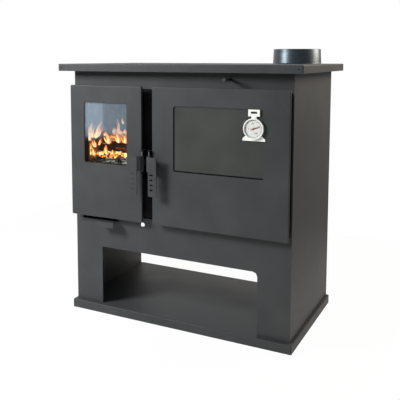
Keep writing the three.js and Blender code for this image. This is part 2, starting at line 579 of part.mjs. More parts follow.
/** Oven liner with a runner pressed in each side, and the shelf on the runners. */
function buildOven() {
  const { t } = OVEN, d = [INNER_D[0], OVEN_D];
  const inside = box(OVEN_X, [d[0] - THROUGH, d[1] - t], OVEN.z);
  let liner = box(grow(OVEN_X, t), d, grow(OVEN.z, t)).subtract(inside);
  const { z, play, wire } = SHELF, { out, foot, lip, front } = RUNNER;
  for (const [x, s] of [[OVEN_X[0] - t / 2, 1], [OVEN_X[1] + t / 2, -1]]) {
    const points = [[x, z - foot], [x + out * s, z - lip], [x + out * s, z], [x, z]];
    const runner = poly(s > 0 ? points : points.reverse());
    liner = liner.add(slab('y', runner, d[0] + front, d[1] - t / 2));
  }
  add('oven_liner', liner, 'oven');
  const sx = grow(OVEN_X, -play), sd = [d[0] + front + play, d[1] - t - 2 * play];
  const frame = box(sx, sd, [z, z + SHELF.t]);
  let shelf = frame.subtract(box(grow(sx, -SHELF.t), grow(sd, -SHELF.t), grow([z, z + SHELF.t], THROUGH)));
  for (let i = 1; i < SHELF.wires; i += 1) {
    const x = sx[0] + ((sx[1] - sx[0]) * i) / SHELF.wires;
    shelf = shelf.add(box(grow([x, x], wire / 2), grow(sd, -SHELF.t / 2), [z + 2, z + 2 + wire]));
  }
  add('oven_shelf', shelf, 'steel');
}

// ======== doors ========

/** Skin of a door: a shallow pan with its window, latch notch and corner reliefs. */
function doorSkin({ side, x, win, winZ, latchX, outer, r }) {
  const face = -DOOR_OUT, behind = [face + 2, face + SKIN.fold + 4];
  let skin = pan('y', x, DOOR_Z, {
    corner: SKIN.corner, bend: SKIN.bend, face, open: face + SKIN.fold, t: SHEET,
  });
  skin = skin.subtract(slab('y', rect(win, winZ, r), ...grow([face, face + SHEET], THROUGH)));
  const notch = box(grow([latchX, latchX], 4), [face + SHEET, behind[1]], grow(HOOK.z, 9));
  skin = skin.subtract(notch);
  const relief = span(outer - 8 * side, outer - 2 * side);
  for (const z of [DOOR_Z[0] - 1, DOOR_Z[1] - 4]) {
    skin = skin.subtract(box(relief, behind, [z, z + 5]));
  }
  return skin;
}

/** Frame behind a door skin: outer wall, back plate, wall round the glass, and the ears. */
function doorFrame(leaf) {
  const { side, x, win, winZ, outer, latchX } = leaf;
  const { edge, hinge, back, wall, lip, r } = FRAME;
  const d = [-DOOR_OUT + SHEET, back], pocket = [d[0] - THROUGH, back - lip];
  const fx = span(outer - hinge * side, latchX + edge * side), fz = grow(DOOR_Z, -edge);
  const gx = grow(win, GLASS.lap + wall), gz = grow(winZ, GLASS.lap + wall);
  let frame = slab('y', rect(fx, fz, r), ...d);
  frame = frame.subtract(slab('y', rect(grow(fx, -wall), grow(fz, -wall), r - 2), ...pocket));
  frame = frame.add(slab('y', rect(grow(gx, wall), grow(gz, wall), r), ...d));
  frame = frame.subtract(slab('y', rect(gx, gz, r - 1), ...pocket));
  frame = frame.subtract(slab('y', rect(win, winZ, r + 1), ...grow(d, THROUGH)));
  return frame.add(hingeEars(leaf, outer - hinge * side)).add(latchEars(side, latchX + edge * side));
}

/** Hinge ears that turn on the pins, above the lugs of the face plate. */
function hingeEars({ side, hingeX }, wallX) {
  const parts = LUG_Z.map((lug) => {
    const z = [lug + LUG.t + FIT, lug + LUG.t + FIT + EAR.t];
    const eye = bar('z', hingeX, HINGE.d, EAR.r, ...z);
    const arm = box(span(hingeX, wallX - 2 * side), grow([HINGE.d, HINGE.d], EAR.half), z);
    return eye.add(arm).subtract(bar('z', hingeX, HINGE.d, HINGE.r + FIT + 0.1, ...grow(z, THROUGH)));
  });
  return parts[0].add(parts[1]);
}

/** Heights of the two ears that hold a latch pin. */
function latchEarZ() {
  const [low, high] = LATCH.z;
  return [[low - LATCH_EAR.below, low - LATCH_EAR.below + LATCH_EAR.t],
    [high + LATCH_EAR.above, high + LATCH_EAR.above + LATCH_EAR.t - 1]];
}

/** Ears that reach from the frame's latch side out to the latch pin. */
function latchEars(side, wallX) {
  const x = GAP.x + LATCH.u * side, { half, d } = LATCH_EAR;
  const parts = latchEarZ().map((z) => {
    const foot = box(span(x - 2 * side, wallX + half * side), d, z);
    const arm = box(grow([x, x], half), [LATCH.d, d[1]], z);
    const eye = bar('z', x, LATCH.d, half, ...z, 20);
    return foot.add(arm).add(eye).subtract(bar('z', x, LATCH.d, LATCH.r, ...grow(z, THROUGH), 20));
  });
  return parts[0].add(parts[1]);
}

/** Everything that swings with one door, apart from its handle. */
function buildDoor(name, leaf) {
  const gx = grow(leaf.win, GLASS.lap), gz = grow(leaf.winZ, GLASS.lap);
  const front = -DOOR_OUT + SHEET, behind = front + GLASS.t;
  add(`${name}_skin`, doorSkin(leaf), 'casing');
  add(`${name}_frame`, doorFrame(leaf), 'black');
  let glass = slab('y', rect(gx, gz, GLASS.r), front, behind);
  if (leaf === OVEN_DOOR) {
    const through = grow([front, behind], THROUGH);
    glass = glass.subtract(bar('y', THERMO.x, THERMO.z, THERMO.stud + 0.5, ...through, 20));
  }
  add(`${name}_glass`, glass, 'glass');
  const clamp = ring(grow(gx, -CLAMP.in), grow(gz, -CLAMP.in), CLAMP.w, [behind, CLAMP.back], GLASS.r);
  add(`${name}_glass_clamp`, clamp, 'black');
  const sx = span(leaf.outer - SEAL.hinge * leaf.side, leaf.latchX + SEAL.latch * leaf.side);
  add(`${name}_seal`, ring(sx, grow(DOOR_Z, -SEAL.z), SEAL.w, [FRAME.back, SHEET - FIT], SEAL.r), 'rope');
}

/** Hinge pins and latch pin of a door. */
function buildPins(name, { side, hingeX }) {
  const ends = ['lower', 'upper'];
  LUG_Z.forEach((z, i) => {
    add(`${name}_hinge_pin_${ends[i]}`, bar('z', hingeX, HINGE.d, HINGE.r, z, z + HINGE.pin), 'steel');
  });
  const [low, high] = latchEarZ();
  const pin = bar('z', GAP.x + LATCH.u * side, LATCH.d, LATCH.r, low[0], high[1] + 0.5, 20);
  add(`${name}_latch_pin`, pin, 'steel');
}

/** Slotted grip plate of a latch handle. */
function gripPlate(side) {
  const { u, w, d, t, r, slots, pitch } = GRIP;
  const through = grow([d, d + t], THROUGH), slot = { in: 5.5, w: 13.5, half: 2.5, top: 9 };
  const plateX = span(GAP.x + u * side, GAP.x + (u + w) * side);
  let plate = slab('y', rect(plateX, [LATCH.low, LATCH.z[1]], r), d, d + t);
  const slotX = span(GAP.x + (u + slot.in) * side, GAP.x + (u + slot.in + slot.w) * side);
  for (let i = 0; i < slots; i += 1) {
    const z = LATCH.z[0] - slot.top - i * pitch;
    plate = plate.subtract(slab('y', rect(slotX, grow([z, z], slot.half), slot.half - 0.1), ...through, 2));
  }
  return plate;
}

/** Latch handle: slotted grip, slanted flange, hub on the latch pin and hook to the catch. */
function buildHandle(name, side) {
  const { u, t, d } = GRIP, pin = [GAP.x + LATCH.u * side, LATCH.d];
  const web = [LATCH.u - 1.8, LATCH.u + 1.2];
  const flange = beside(side, [[u + 1.2, d], [u + 2.6, d + t], [web[1], LATCH.d - 11.8], [web[1], LATCH.d],
    [web[0], LATCH.d], [web[0], LATCH.d - 13.9]]);
  const arm = [LATCH.u - HOOK.half, LATCH.u + HOOK.half];
  const hook = beside(side, [[arm[0], LATCH.d], [arm[1], LATCH.d], [arm[1], HOOK.d[1]],
    [HOOK.u, HOOK.d[1]], [HOOK.u, HOOK.d[0] + 1], [arm[0], HOOK.d[0]]]);
  const hub = bar('z', ...pin, LATCH.hub, ...LATCH.z);
  const bore = bar('z', ...pin, LATCH.r + FIT, ...grow(LATCH.z, THROUGH));
  const lever = gripPlate(side).add(slab('z', flange, ...LATCH.z)).add(hub).add(slab('z', hook, ...HOOK.z));
  add(name, lever.subtract(bore), 'casing');
}

// ======== air slider ========

/** Air slider: holed plate, neck through the slot and bent tab in front of the panel. */
function buildSlider() {
  const { d, t, neck, out, lip } = SLIDER, z = [SLIDER_Z, SLIDER_Z + t];
  const stem = box([TAB_X[0], TAB_X[0] + neck], [-2, d[0] + 1], z);
  const tab = box(TAB_X, [-out, -1], z).add(box(TAB_X, [-out, -out + t], [SLIDER_Z - lip + t, z[1]]));
  let body = box(SLIDER_X, d, z);
  for (const hole of airHoles(grow(z, THROUGH))) body = body.subtract(hole);
  add('air_slider', body.add(stem).add(tab), 'casing');
}

/** Tray under the inner floor that the slider runs in, open below and at the neck. */
function buildSliderGuide() {
  const { d, travel } = SLIDER, { wall, end, sheet, side } = TRAY;
  const x = [SLIDER_X[0] - travel - wall, SLIDER_X[1] + end];
  const bed = SLIDER_Z - FIT, roof = FLOOR_Z + THROUGH;
  let tray = box(x, TRAY.d, [bed - sheet, FLOOR_Z]);
  tray = tray.subtract(box(grow(x, THROUGH), grow(d, side), [bed, roof]));
  tray = tray.subtract(box(grow(x, side - wall), grow(d, -TRAY.bed), [bed - sheet - THROUGH, roof]));
  tray = tray.subtract(box(grow(SLOT_X, side), [0, d[0]], [bed, roof]));
  add('air_slider_guide', tray, 'black');
}

// ======== oven thermometer ========

/** Case of the thermometer: a dish on a plate shaped like a stand, with a stud behind. */
function buildThermometerCase() {
  const { x, z, r, d, deep, rim, floor, plate, stud, spacer } = THERMO;
  const glass = -DOOR_OUT + SHEET;
  const outline = [...STAND, ...STAND.map(([a, b]) => [-a, b]).reverse()];
  let body = slab('y', poly(outline.map(([a, b]) => [x + a, z + b])), d - plate, d);
  body = body.add(bar('y', x, z, r, d - deep, d, 48));
  body = body.add(bar('y', x, z, spacer, d - 1, glass));
  body = body.add(bar('y', x, z, stud, d, glass + GLASS.t + THERMO.nut + 4, 20));
  body = body.subtract(bar('y', x, z, r - rim, d - deep - THROUGH, d - floor, 48));
  const slot = rect([x - 10, x + 10], [z + 44, z + 50], 2.5);
  add('thermometer_case', body.subtract(slab('y', slot, ...grow([d - plate, d], THROUGH))), 'steel');
}

/** Dial, needle and lens in the case, and the nut behind the glass. */
function buildThermometer() {
  const { x, z, r, d, deep, rim, floor, stud, spacer, nut } = THERMO;
  const inside = r - rim - 0.2, dial = [d - floor - 1.5, d - floor];
  buildThermometerCase();
  add('thermometer_dial', bar('y', x, z, inside, ...dial, 48), 'dial');
  const angle = (20 * Math.PI) / 180, c = Math.cos(angle), s = Math.sin(angle);
  const hand = [[-9, -1.4], [6, -1.6], [20, -0.4], [20, 0.4], [6, 1.6], [-9, 1.4]];
  const pointer = poly(hand.map(([p, q]) => [x + c * p - s * q, z + s * p + c * q]));
  const needle = slab('y', pointer, dial[0] - 1.4, dial[0] - 0.6);
  add('thermometer_needle', needle.add(bar('y', x, z, 3, dial[0] - 1.6, dial[0], 20)), 'needle');
  const lens = [d - deep + 0.4, d - deep + 1.8];
  add('thermometer_lens', bar('y', x, z, inside, ...lens, 48), 'glass');
  const seat = -DOOR_OUT + SHEET + GLASS.t;
  const hex = new THREE.CylinderGeometry(spacer, spacer, nut, 6).translate(x, Y(seat + nut / 2), z);
  const thread = bar('y', x, z, stud + 0.05, ...grow([seat, seat + nut], THROUGH), 20);
  add('thermometer_nut', solid(hex).subtract(thread), 'steel');
}

buildBase();
buildSide('side_panel_left', -1);
buildSide('side_panel_right', 1);
buildFront();
buildRear();
buildTop();
buildHob();
buildFlue();
buildDuct();
buildDamper();
buildFacePlate();
buildInnerBody();
buildBricks();
buildGrate();
buildAsh();
buildLogs();
buildOven();
buildDoor('fire_door', FIRE_DOOR);
buildDoor('oven_door', OVEN_DOOR);
buildPins('fire_door', FIRE_DOOR);
buildPins('oven_door', OVEN_DOOR);
buildHandle('fire_door_handle', -1);
buildHandle('oven_door_handle', 1);
buildSlider();
buildSliderGuide();
buildThermometer();

export default root;
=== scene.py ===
"""Looks of a wood cookstove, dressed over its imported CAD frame.

Every length is in metres, in the frame of the CAD part: X to the right, Y to the back, Z up.
"""

import functools
import math

import bmesh
import bpy
import numpy as np
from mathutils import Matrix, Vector


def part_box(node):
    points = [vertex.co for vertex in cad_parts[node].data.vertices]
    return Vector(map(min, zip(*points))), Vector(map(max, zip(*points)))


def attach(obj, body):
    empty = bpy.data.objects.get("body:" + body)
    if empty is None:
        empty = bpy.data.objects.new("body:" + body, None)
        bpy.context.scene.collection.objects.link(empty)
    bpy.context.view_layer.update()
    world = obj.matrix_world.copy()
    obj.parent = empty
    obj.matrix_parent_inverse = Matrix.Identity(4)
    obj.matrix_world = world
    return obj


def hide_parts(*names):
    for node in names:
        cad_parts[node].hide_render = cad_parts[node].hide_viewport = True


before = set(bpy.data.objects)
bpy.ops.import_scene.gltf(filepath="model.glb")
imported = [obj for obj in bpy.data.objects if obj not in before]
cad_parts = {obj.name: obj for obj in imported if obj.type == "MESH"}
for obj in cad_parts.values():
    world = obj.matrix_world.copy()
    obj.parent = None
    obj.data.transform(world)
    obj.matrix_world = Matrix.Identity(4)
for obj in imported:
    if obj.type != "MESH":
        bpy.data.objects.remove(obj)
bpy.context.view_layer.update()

bl_info = {
    "name": "Wood cookstove",
    "version": (1, 0, 0),
    "blender": (4, 5, 0),
    "location": "3D View > Sidebar > Cookstove",
    "description": "Finishes, fire, thermometer and studio of a wood cookstove",
    "category": "Object",
}

PHOTO_PX = 400                     # the photograph is square
SENSOR_MM = 36.0
RNG_SEED = 7
SHARP_ANGLE = math.radians(35)     # a bend sharper than this is shaded as an edge

# Corners of the studio's paper, which lies just below the stove's foot.
PAPER = ((-1.4, -1.5, -0.0005), (0.65, -1.5, -0.0005), (0.65, 1.1, -0.0005), (-1.4, 1.1, -0.0005))
LAMP_AIM = (0, 0, 0.45)            # the middle of the stove

CASING_FRONT = -0.209              # y of the casing's front face
WINDOW_LAP = 0.013                 # how far a door's glass reaches behind its skin
STUB_PLACE = (-0.232, CASING_FRONT + 0.033, 0.5275)    # its foot, just inside the front log

TICKS = 31                         # on the thermometer's dial, ten degrees of heat apart
TICK_START, TICK_STEP = -91, 8     # degrees of turn from the top to the first tick, and between ticks
DIAL_SIDES = 96
NUMBER_REACH = 0.0152              # from the dial's centre to the middle of a number
INK_GAP, INK_THICKNESS = 0.00012, 0.00008              # the gap is from the dial to the ink's face

EMBER_SIZE = (0.0045, 0.0095)      # least and greatest half width of an ember
# Where embers lie behind the casing's front, from and to, their size as a factor, and how high their
# middle lies over the bed, as a share of their half height.
EMBER_BANDS = (
    (0.009, 0.016, 0.6, 0.8),      # ahead of the logs
    (0.170, 0.230, 1.0, 0.8),      # behind them
    (0.082, 0.100, 1.0, 0.35),     # in the groove between them
    (0.034, 0.066, 1.0, 0.35),     # along the front log
)

# Each flame in mm: root x, depth behind the casing's front, root z, tip x, tip z, half width, and
# how pale it is, from 0 to 1.
FLAMES = (
    (-336, 8, 586, -336, 645, 6.7, 0.55), (-328, 12, 597, -327, 657, 9.5, 0.9),
    (-325, 14, 597, -329, 624, 7, 0.2), (-313, 14, 594, -281, 661, 9.1, 0.45),
    (-305, 18, 601, -295, 636, 7, 0.5), (-292, 62, 571, -302, 619, 12.4, 0.1),
    (-328, 98, 594, -326, 612, 9, 0.3), (-275, 96, 598, -278, 666, 6.2, 0.7),
    (-251, 62, 577, -257, 623, 10.6, 0.1), (-256, 100, 639, -261, 666, 4.5, 1.0),
    (-222, 58, 579, -226, 611, 9.6, 0.15), (-248, 100, 606, -248, 625, 9, 0.4),
    (-265, 100, 605, -265, 619, 6.6, 0.4), (-294, 100, 607, -294, 628, 6.7, 0.7),
    (-271, 20, 541, -276, 579, 9.8, 0.1), (-250, 20, 543, -248, 563, 6.4, 0.15),
    (-321, 18, 538, -331, 568, 6.6, 0.15), (-322, 20, 564, -334, 591, 5, 0.35),
    (-318, 20, 564, -324, 593, 5.4, 0.2), (-302, 20, 572, -291, 599, 5, 0.25),
    (-220, 20, 548, -214, 560, 9.5, 0.1), (-337, 16, 586, -341, 618, 5.5, 0.3),
    (-336, 18, 556, -341, 584, 5, 0.1), (-336, 18, 536, -340, 560, 5.5, 0.1),
)
# A flame's least depth, its greatest depth ahead of the front log, and its greatest depth of all.
NEAREST_MM, AHEAD_MM, DEEPEST_MM = 8, 20, 220

# Settings of nodes that are used over and over. The inputs of a Map Range node are listed as its
# value, the value's start and end, and what comes out at its start and at its end.
SMOOTH = {"interpolation_type": "SMOOTHSTEP"}
MAXIMUM = {"operation": "MAXIMUM"}
MULTIPLY = {"operation": "MULTIPLY"}


# ---------------------------------------------------------------- small helpers

def rgb(hex_text):
    """Turns an sRGB hex colour into linear RGBA."""
    channels = [int(hex_text[i:i + 2], 16) / 255 for i in (1, 3, 5)]
    linear = [c / 12.92 if c <= 0.04045 else ((c + 0.055) / 1.055) ** 2.4 for c in channels]
    return (*linear, 1.0)


def shade(colour, factor):
    """A darker or lighter tone of a linear colour."""
    return tuple(c * factor for c in colour[:3]) + (1.0,)


def add_node(tree, kind, settings=None, inputs=(), stops=()):
    """Adds one node with its settings, its inputs set or linked, and the stops of its colour ramp.

    Inputs are a dict, or a list in the node's own order. Gives back the node's outputs.
    """
    made = tree.nodes.new("ShaderNode" + kind)
    for key, value in (settings or {}).items():
        setattr(made, key, value)
    for key, value in inputs.items() if isinstance(inputs, dict) else enumerate(inputs):
        if isinstance(value, bpy.types.NodeSocket):
            tree.links.new(value, made.inputs[key])
        else:
            made.inputs[key].default_value = value
    if stops:
        band = made.color_ramp.elements
        while len(band) < len(stops):
            band.new(0.5)
        for element, (place, colour) in zip(band, stops):
            element.position, element.color = place, colour
    return made.outputs


def emptied(tree):
    """Empties a tree of nodes, and gives back the function that adds nodes to it."""
    tree.nodes.clear()
    return functools.partial(add_node, tree)


def new_material(name):
    """An empty material, and the function that adds nodes to it."""
    material = bpy.data.materials.new(name)
    material.use_nodes = True
    return material, emptied(material.node_tree)


def surfaced(material, shader):
    """The material, once its shader is led to its output."""
    add_node(material.node_tree, "OutputMaterial", inputs=[shader])
    return material


def mesh_points(mesh):
    """The corners of a mesh, as an array."""
    co = np.zeros(len(mesh.vertices) * 3, np.float32)
    mesh.vertices.foreach_get("co", co)
    return co.reshape(-1, 3)


def node_points(name):
    """The corners of a CAD node, as an array."""
    return mesh_points(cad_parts[name].data)


def mesh_object(name, points, faces, material, smooth=True):
    """An object from an array of points and a list of faces."""
    mesh = bpy.data.meshes.new(name)
    mesh.from_pydata(np.asarray(points, float).reshape(-1, 3).tolist(), [], [list(f) for f in faces])
    mesh.polygons.foreach_set("use_smooth", np.full(len(mesh.polygons), smooth))
    mesh.materials.append(material)
    mesh.validate()
    obj = bpy.data.objects.new(name, mesh)
    bpy.context.scene.collection.objects.link(obj)
    return obj


def grid_faces(rows, cols, wrap=False):
    """Quads of a grid of rows by cols points; wrap joins the last column to the first."""
    i, j = np.meshgrid(np.arange(rows - 1), np.arange(cols if wrap else cols - 1), indexing="ij")
    k = (j + 1) % cols
    quads = np.stack([i * cols + j, i * cols + k, (i + 1) * cols + k, (i + 1) * cols + j], -1)
    return quads.reshape(-1, 4)


def closed_faces(rows, cols):
    """Faces of a closed body: rows rings of cols points, then the pole before and the one after."""
    i = np.arange(cols)
    k = (i + 1) % cols
    first_pole, last = rows * cols, (rows - 1) * cols
    caps = np.concatenate([
        np.stack([k, i, np.full(cols, first_pole)], -1),
        np.stack([last + i, last + k, np.full(cols, first_pole + 1)], -1),
    ])
    return grid_faces(rows, cols, wrap=True).tolist() + caps.tolist()


def copied_faces(faces, copies, step):
    """The faces of many like bodies, whose points follow one another with step points each."""
    return [[start + i for i in face] for start in range(0, copies * step, step) for face in faces]


def turned(name, profile, centre, material, sides):
    """A turned body: point (a, s) is (r(s) cos a, r(s) sin a, z(s)) for a closed profile of (r, z)."""
    r, z = np.array(profile, float).T
    a = np.arange(sides) * 2 * math.pi / sides
    grid = np.stack([
        centre[0] + r[:, None] * np.cos(a), centre[1] + r[:, None] * np.sin(a),
        centre[2] + np.repeat(z[:, None], sides, 1),
    ], -1)
    return mesh_object(name, grid, grid_faces(len(r), sides, wrap=True), material)


def face_out(obj):
    """Merges doubles, turns every face outwards and splits shading at sharp edges."""
    work = bmesh.new()
    work.from_mesh(obj.data)
    bmesh.ops.remove_doubles(work, verts=work.verts, dist=1e-6)
    bmesh.ops.recalc_face_normals(work, faces=work.faces)
    for edge in work.edges:
        edge.smooth = len(edge.link_faces) == 2 and edge.calc_face_angle(0) < SHARP_ANGLE
    work.to_mesh(obj.data)
    work.free()


# ---------------------------------------------------------------- materials

def grain_bump(add, at, grain_mm, strength, depth_mm):
    """Fine surface grain: noise whose cell is grain_mm wide, as a bump depth_mm deep."""
    noise = add("TexNoise", inputs={
        "Vector": at, "Scale": 1000 / grain_mm, "Detail": 2.0, "Roughness": 0.6,
    })["Fac"]
    return add("Bump", inputs={
        "Height": noise, "Strength": strength, "Distance": depth_mm / 1000,
    })["Normal"]


def paint(name, colour, darker, roughness, grain_mm, depth_mm):
    """Sprayed paint: a colour and a darker tone of it in clouds 90 mm wide, and a fine even grain."""
    material, add = new_material(name)
    at = add("TexCoord")["Object"]
    clouds = add("TexNoise", inputs={
        "Vector": at, "Scale": 1000 / 90, "Detail": 3.0, "Roughness": 0.55,
    })["Fac"]
    tones = add("ValToRGB", inputs=[clouds], stops=[
        (0.3, shade(colour, darker)), (0.7, shade(colour, 1)),
    ])["Color"]
    rough = add("MapRange", inputs=[clouds, 0.3, 0.7, roughness - 0.03, roughness + 0.03])["Result"]
    return surfaced(material, add("BsdfPrincipled", inputs={
        "Base Color": tones, "Roughness": rough, "Specular IOR Level": 0.2,
        "Normal": grain_bump(add, at, grain_mm, 0.35, depth_mm),
    })["BSDF"])


def casing_paint(colours):
    """Anthracite silicone stove paint, sprayed: satin, with a fine orange-peel grain of 1.6 mm."""
    return paint("anthracite_stove_paint", colours.casing, 0.82, 0.5, 1.6, 0.03)


def matt_black(colours):
    """Black heat-resistant primer on plate, nearly no shine; partly painted shade, so the gaps round
    the doors read as black.
    """
    return paint("matt_black_stove_paint", colours.inside, 0.6, 0.75, 0.9, 0.03)


def cast_iron(colours):
    """Grey cast iron, blacked: sand-cast pimples about 1.5 mm wide under a dull polish."""
    return paint("blacked_cast_iron", colours.iron, 0.67, 0.5, 1.5, 0.08)


def firebrick(colours):
    """Pressed fireclay: buff, speckled by grog of about 3 mm, and sooty in clouds 70 mm wide."""
    material, add = new_material("fireclay_brick")
    at = add("TexCoord")["Object"]
    grog = add("TexVoronoi", inputs={"Vector": at, "Scale": 1000 / 3})["Distance"]
    soot = add("TexNoise", inputs={"Vector": at, "Scale": 1000 / 70, "Detail": 4.0})["Fac"]
    clay = add("ValToRGB", inputs=[grog], stops=[
        (0.1, shade(colours.brick, 0.66)), (0.6, shade(colours.brick, 1)),
    ])["Color"]
    share = add("ValToRGB", inputs=[soot], stops=[
        (0.35, rgb("#ffffff")), (0.6, rgb("#333333")),
    ])["Color"]
    colour = add("Mix", {"data_type": "RGBA"}, {
        "Factor": share, "A": clay, "B": rgb("#1c1a18"),
    })["Result"]
    return surfaced(material, add("BsdfPrincipled", inputs={
        "Base Color": colour, "Roughness": 0.95, "Normal": grain_bump(add, at, 2.0, 0.5, 0.3),
    })["BSDF"])


def seal_rope():
    """Knitted glass-fibre rope, graphite black: ribs 3 mm apart catch the light."""
    material, add = new_material("knitted_glass_rope")
    at = add("TexCoord")["Object"]
    knit = add("TexVoronoi", inputs={"Vector": at, "Scale": 1000 / 3})["Distance"]
    tones = add("ValToRGB", inputs=[knit], stops=[
        (0.0, rgb("#2b2b2b")), (0.7, rgb("#101010")),
    ])["Color"]
    ribs = add("Bump", inputs={"Height": knit, "Strength": 0.8, "Distance": 0.001})["Normal"]
    return surfaced(material, add("BsdfPrincipled", inputs={
        "Base Color": tones, "Roughness": 0.9, "Normal": ribs,
    })["BSDF"])


def metal(name, colour, roughness, stretch, line_mm, depth_mm):
    """Metal with grinding lines: noise stretched along one axis, line_mm wide."""
    material, add = new_material(name)
    at = add("TexCoord")["Object"]
    drawn = add("Mapping", inputs={"Vector": at, "Scale": stretch})["Vector"]
    lines = add("TexNoise", inputs={"Vector": drawn, "Scale": 1000 / line_mm, "Detail": 3.0})["Fac"]
    rough = add("MapRange", inputs={
        "Value": lines, "To Min": roughness - 0.08, "To Max": roughness + 0.08,
    })["Result"]
    bump = add("Bump", inputs={
        "Height": lines, "Strength": 0.25, "Distance": depth_mm / 1000,
    })["Normal"]
    return surfaced(material, add("BsdfPrincipled", inputs={
        "Base Color": shade(colour, 1), "Metallic": 1.0, "Roughness": rough, "Normal": bump,
    })["BSDF"])


def sheet_steel(colours):
    """Cold-rolled steel sheet: grey, with rolling lines along the depth of the oven.

    The lines are 5 mm apart, coarser than real ones, so that they show in the render.
    """
    return metal("cold_rolled_steel", colours.steel, 0.45, (1.0, 0.05, 1.0), 5.0, 0.02)


def bright_steel(colours):
    """Zinc-plated round bar: pale and slightly dull, with turning lines."""
    return metal("zinc_plated_steel", shade(colours.steel, 1.12), 0.42, (1.0, 1.0, 6.0), 1.5, 0.01)


def flue_paint(colours):
    """Metallic stove paint on the rolled spigot: dark, with fine level lines 1.5 mm apart."""
    material, add = new_material("metallic_flue_paint")
    at = add("TexCoord")["Object"]
    level = add("Mapping", inputs={"Vector": at, "Scale": (0.04, 0.04, 1.0)})["Vector"]
    lines = add("TexNoise", inputs={"Vector": level, "Scale": 1000 / 1.5, "Detail": 2.0})["Fac"]
    tones = add("ValToRGB", inputs=[lines], stops=[
        (0.3, shade(colours.spigot, 0.45)), (0.7, shade(colours.spigot, 1)),
    ])["Color"]
    bump = add("Bump", inputs={"Height": lines, "Strength": 0.2, "Distance": 0.00002})["Normal"]
    return surfaced(material, add("BsdfPrincipled", inputs={
        "Base Color": tones, "Metallic": 0.45, "Roughness": 0.36, "Normal": bump,
    })["BSDF"])


def lacquer(name, colour, roughness):
    """Enamelled or printed sheet: a nearly even colour with a grain of half a millimetre."""
    return paint(name, colour, 0.94, roughness, 0.5, 0.005)


def thermometer_enamel(colours):
    """White enamel of the thermometer's stand-shaped case."""
    return lacquer("white_enamelled_steel", colours.enamel, 0.35)


def dial_white(colours):
    """White lacquer of the thermometer's dial, a little duller than its case."""
    return lacquer("white_dial_lacquer", shade(colours.enamel, 0.88), 0.5)


def needle_red(colours):
    """Red lacquer of the thermometer's needle."""
    return lacquer("red_needle_lacquer", colours.needle, 0.5)


def mirror_share(add):
    """How much a glass face mirrors: 3 % seen square on, and 90 % edge on, on either side."""
    facing = add("LayerWeight", inputs={"Blend": 0.5})["Facing"]
    steep = add("Math", {"operation": "POWER"}, [facing, 5.0])["Value"]
    return add("MapRange", inputs={"Value": steep, "To Min": 0.03, "To Max": 0.9})["Result"]


def glass_sheet(name, behind, film, colour, roughness):
    """A sheet of glass: a film over what lies behind, tinted by behind, under a clean mirror.

    Film(add, at, colour) gives the film's tones and its share, each a socket or a plain value.
    """
    material, add = new_material(name)
    at = add("TexCoord")["Object"]
    smear = add("TexNoise", inputs={"Vector": at, "Scale": 1000 / 60, "Detail": 2.0})["Fac"]
    rough = add("MapRange", SMOOTH, [smear, 0.3, 0.7, roughness * 0.6, roughness * 1.4])["Result"]
    gloss = add("BsdfGlossy", inputs={"Color": rgb("#ffffff"), "Roughness": rough})["BSDF"]
    clear = add("BsdfTransparent", inputs=[rgb(behind)])["BSDF"]
    tones, share = film(add, at, colour)
    coat = add("BsdfDiffuse", inputs={"Color": tones, "Roughness": 0.5})["BSDF"]
    sheet = add("MixShader", inputs=[share, clear, coat])["Shader"]
    return surfaced(material, add("MixShader", inputs=[mirror_share(add), sheet, gloss])["Shader"])


def smoke_film(add, at, black):
    """Film inside the fire glass: a painted blue-grey reflection over its upper half, and painted shade
    down its left edge.
    """
    low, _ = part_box("fire_door_glass")
    reflection_foot, reflection_full = low.z + 0.088, low.z + 0.128
    shade_rim, shade_full = low.x + 0.0095, low.x + 0.0065
    pale_end, deep_from = low.x + 0.078, low.x + 0.094
    x, _, z = add("SeparateXYZ", inputs=[at])
    drift = add("TexNoise", inputs={"Vector": at, "Scale": 1000 / 45, "Detail": 3.0})["Fac"]
    lift = add("MapRange", SMOOTH, [drift, 0.3, 0.7, -0.012, 0.012])["Result"]
    height = add("Math", {"operation": "ADD"}, [z, lift])["Value"]
    # painted reflection: a pale blue-grey film over the upper half of the glass
    painted_reflection_share = add("MapRange", SMOOTH, [height, reflection_foot, reflection_full, 0.0, 0.36])["Result"]
    # painted shade: black down the left edge, beside the opening's shaded side
    soot = add("MapRange", SMOOTH, [x, shade_rim, shade_full, 0.0, 0.97])["Result"]
    # the painted reflection is paler on the left than on the right
    side = add("MapRange", SMOOTH, [x, pale_end, deep_from])["Result"]
    blue = add("ValToRGB", inputs=[side], stops=[(0.0, rgb("#afc0cf")), (1.0, rgb("#8d9cab"))])["Color"]
    colour = add("Mix", {"data_type": "RGBA"}, {"Factor": soot, "A": blue, "B": black})["Result"]
    return colour, add("Math", MAXIMUM, [painted_reflection_share, soot])["Value"]


def fire_glass(_):
    """Clear ceramic glass of the fire door, with a painted blue-grey reflection and painted shade along
    its left edge.
    """
    return glass_sheet("ceramic_glass_painted_reflection", "#f2f5f2", smoke_film, rgb("#060606"), 0.05)


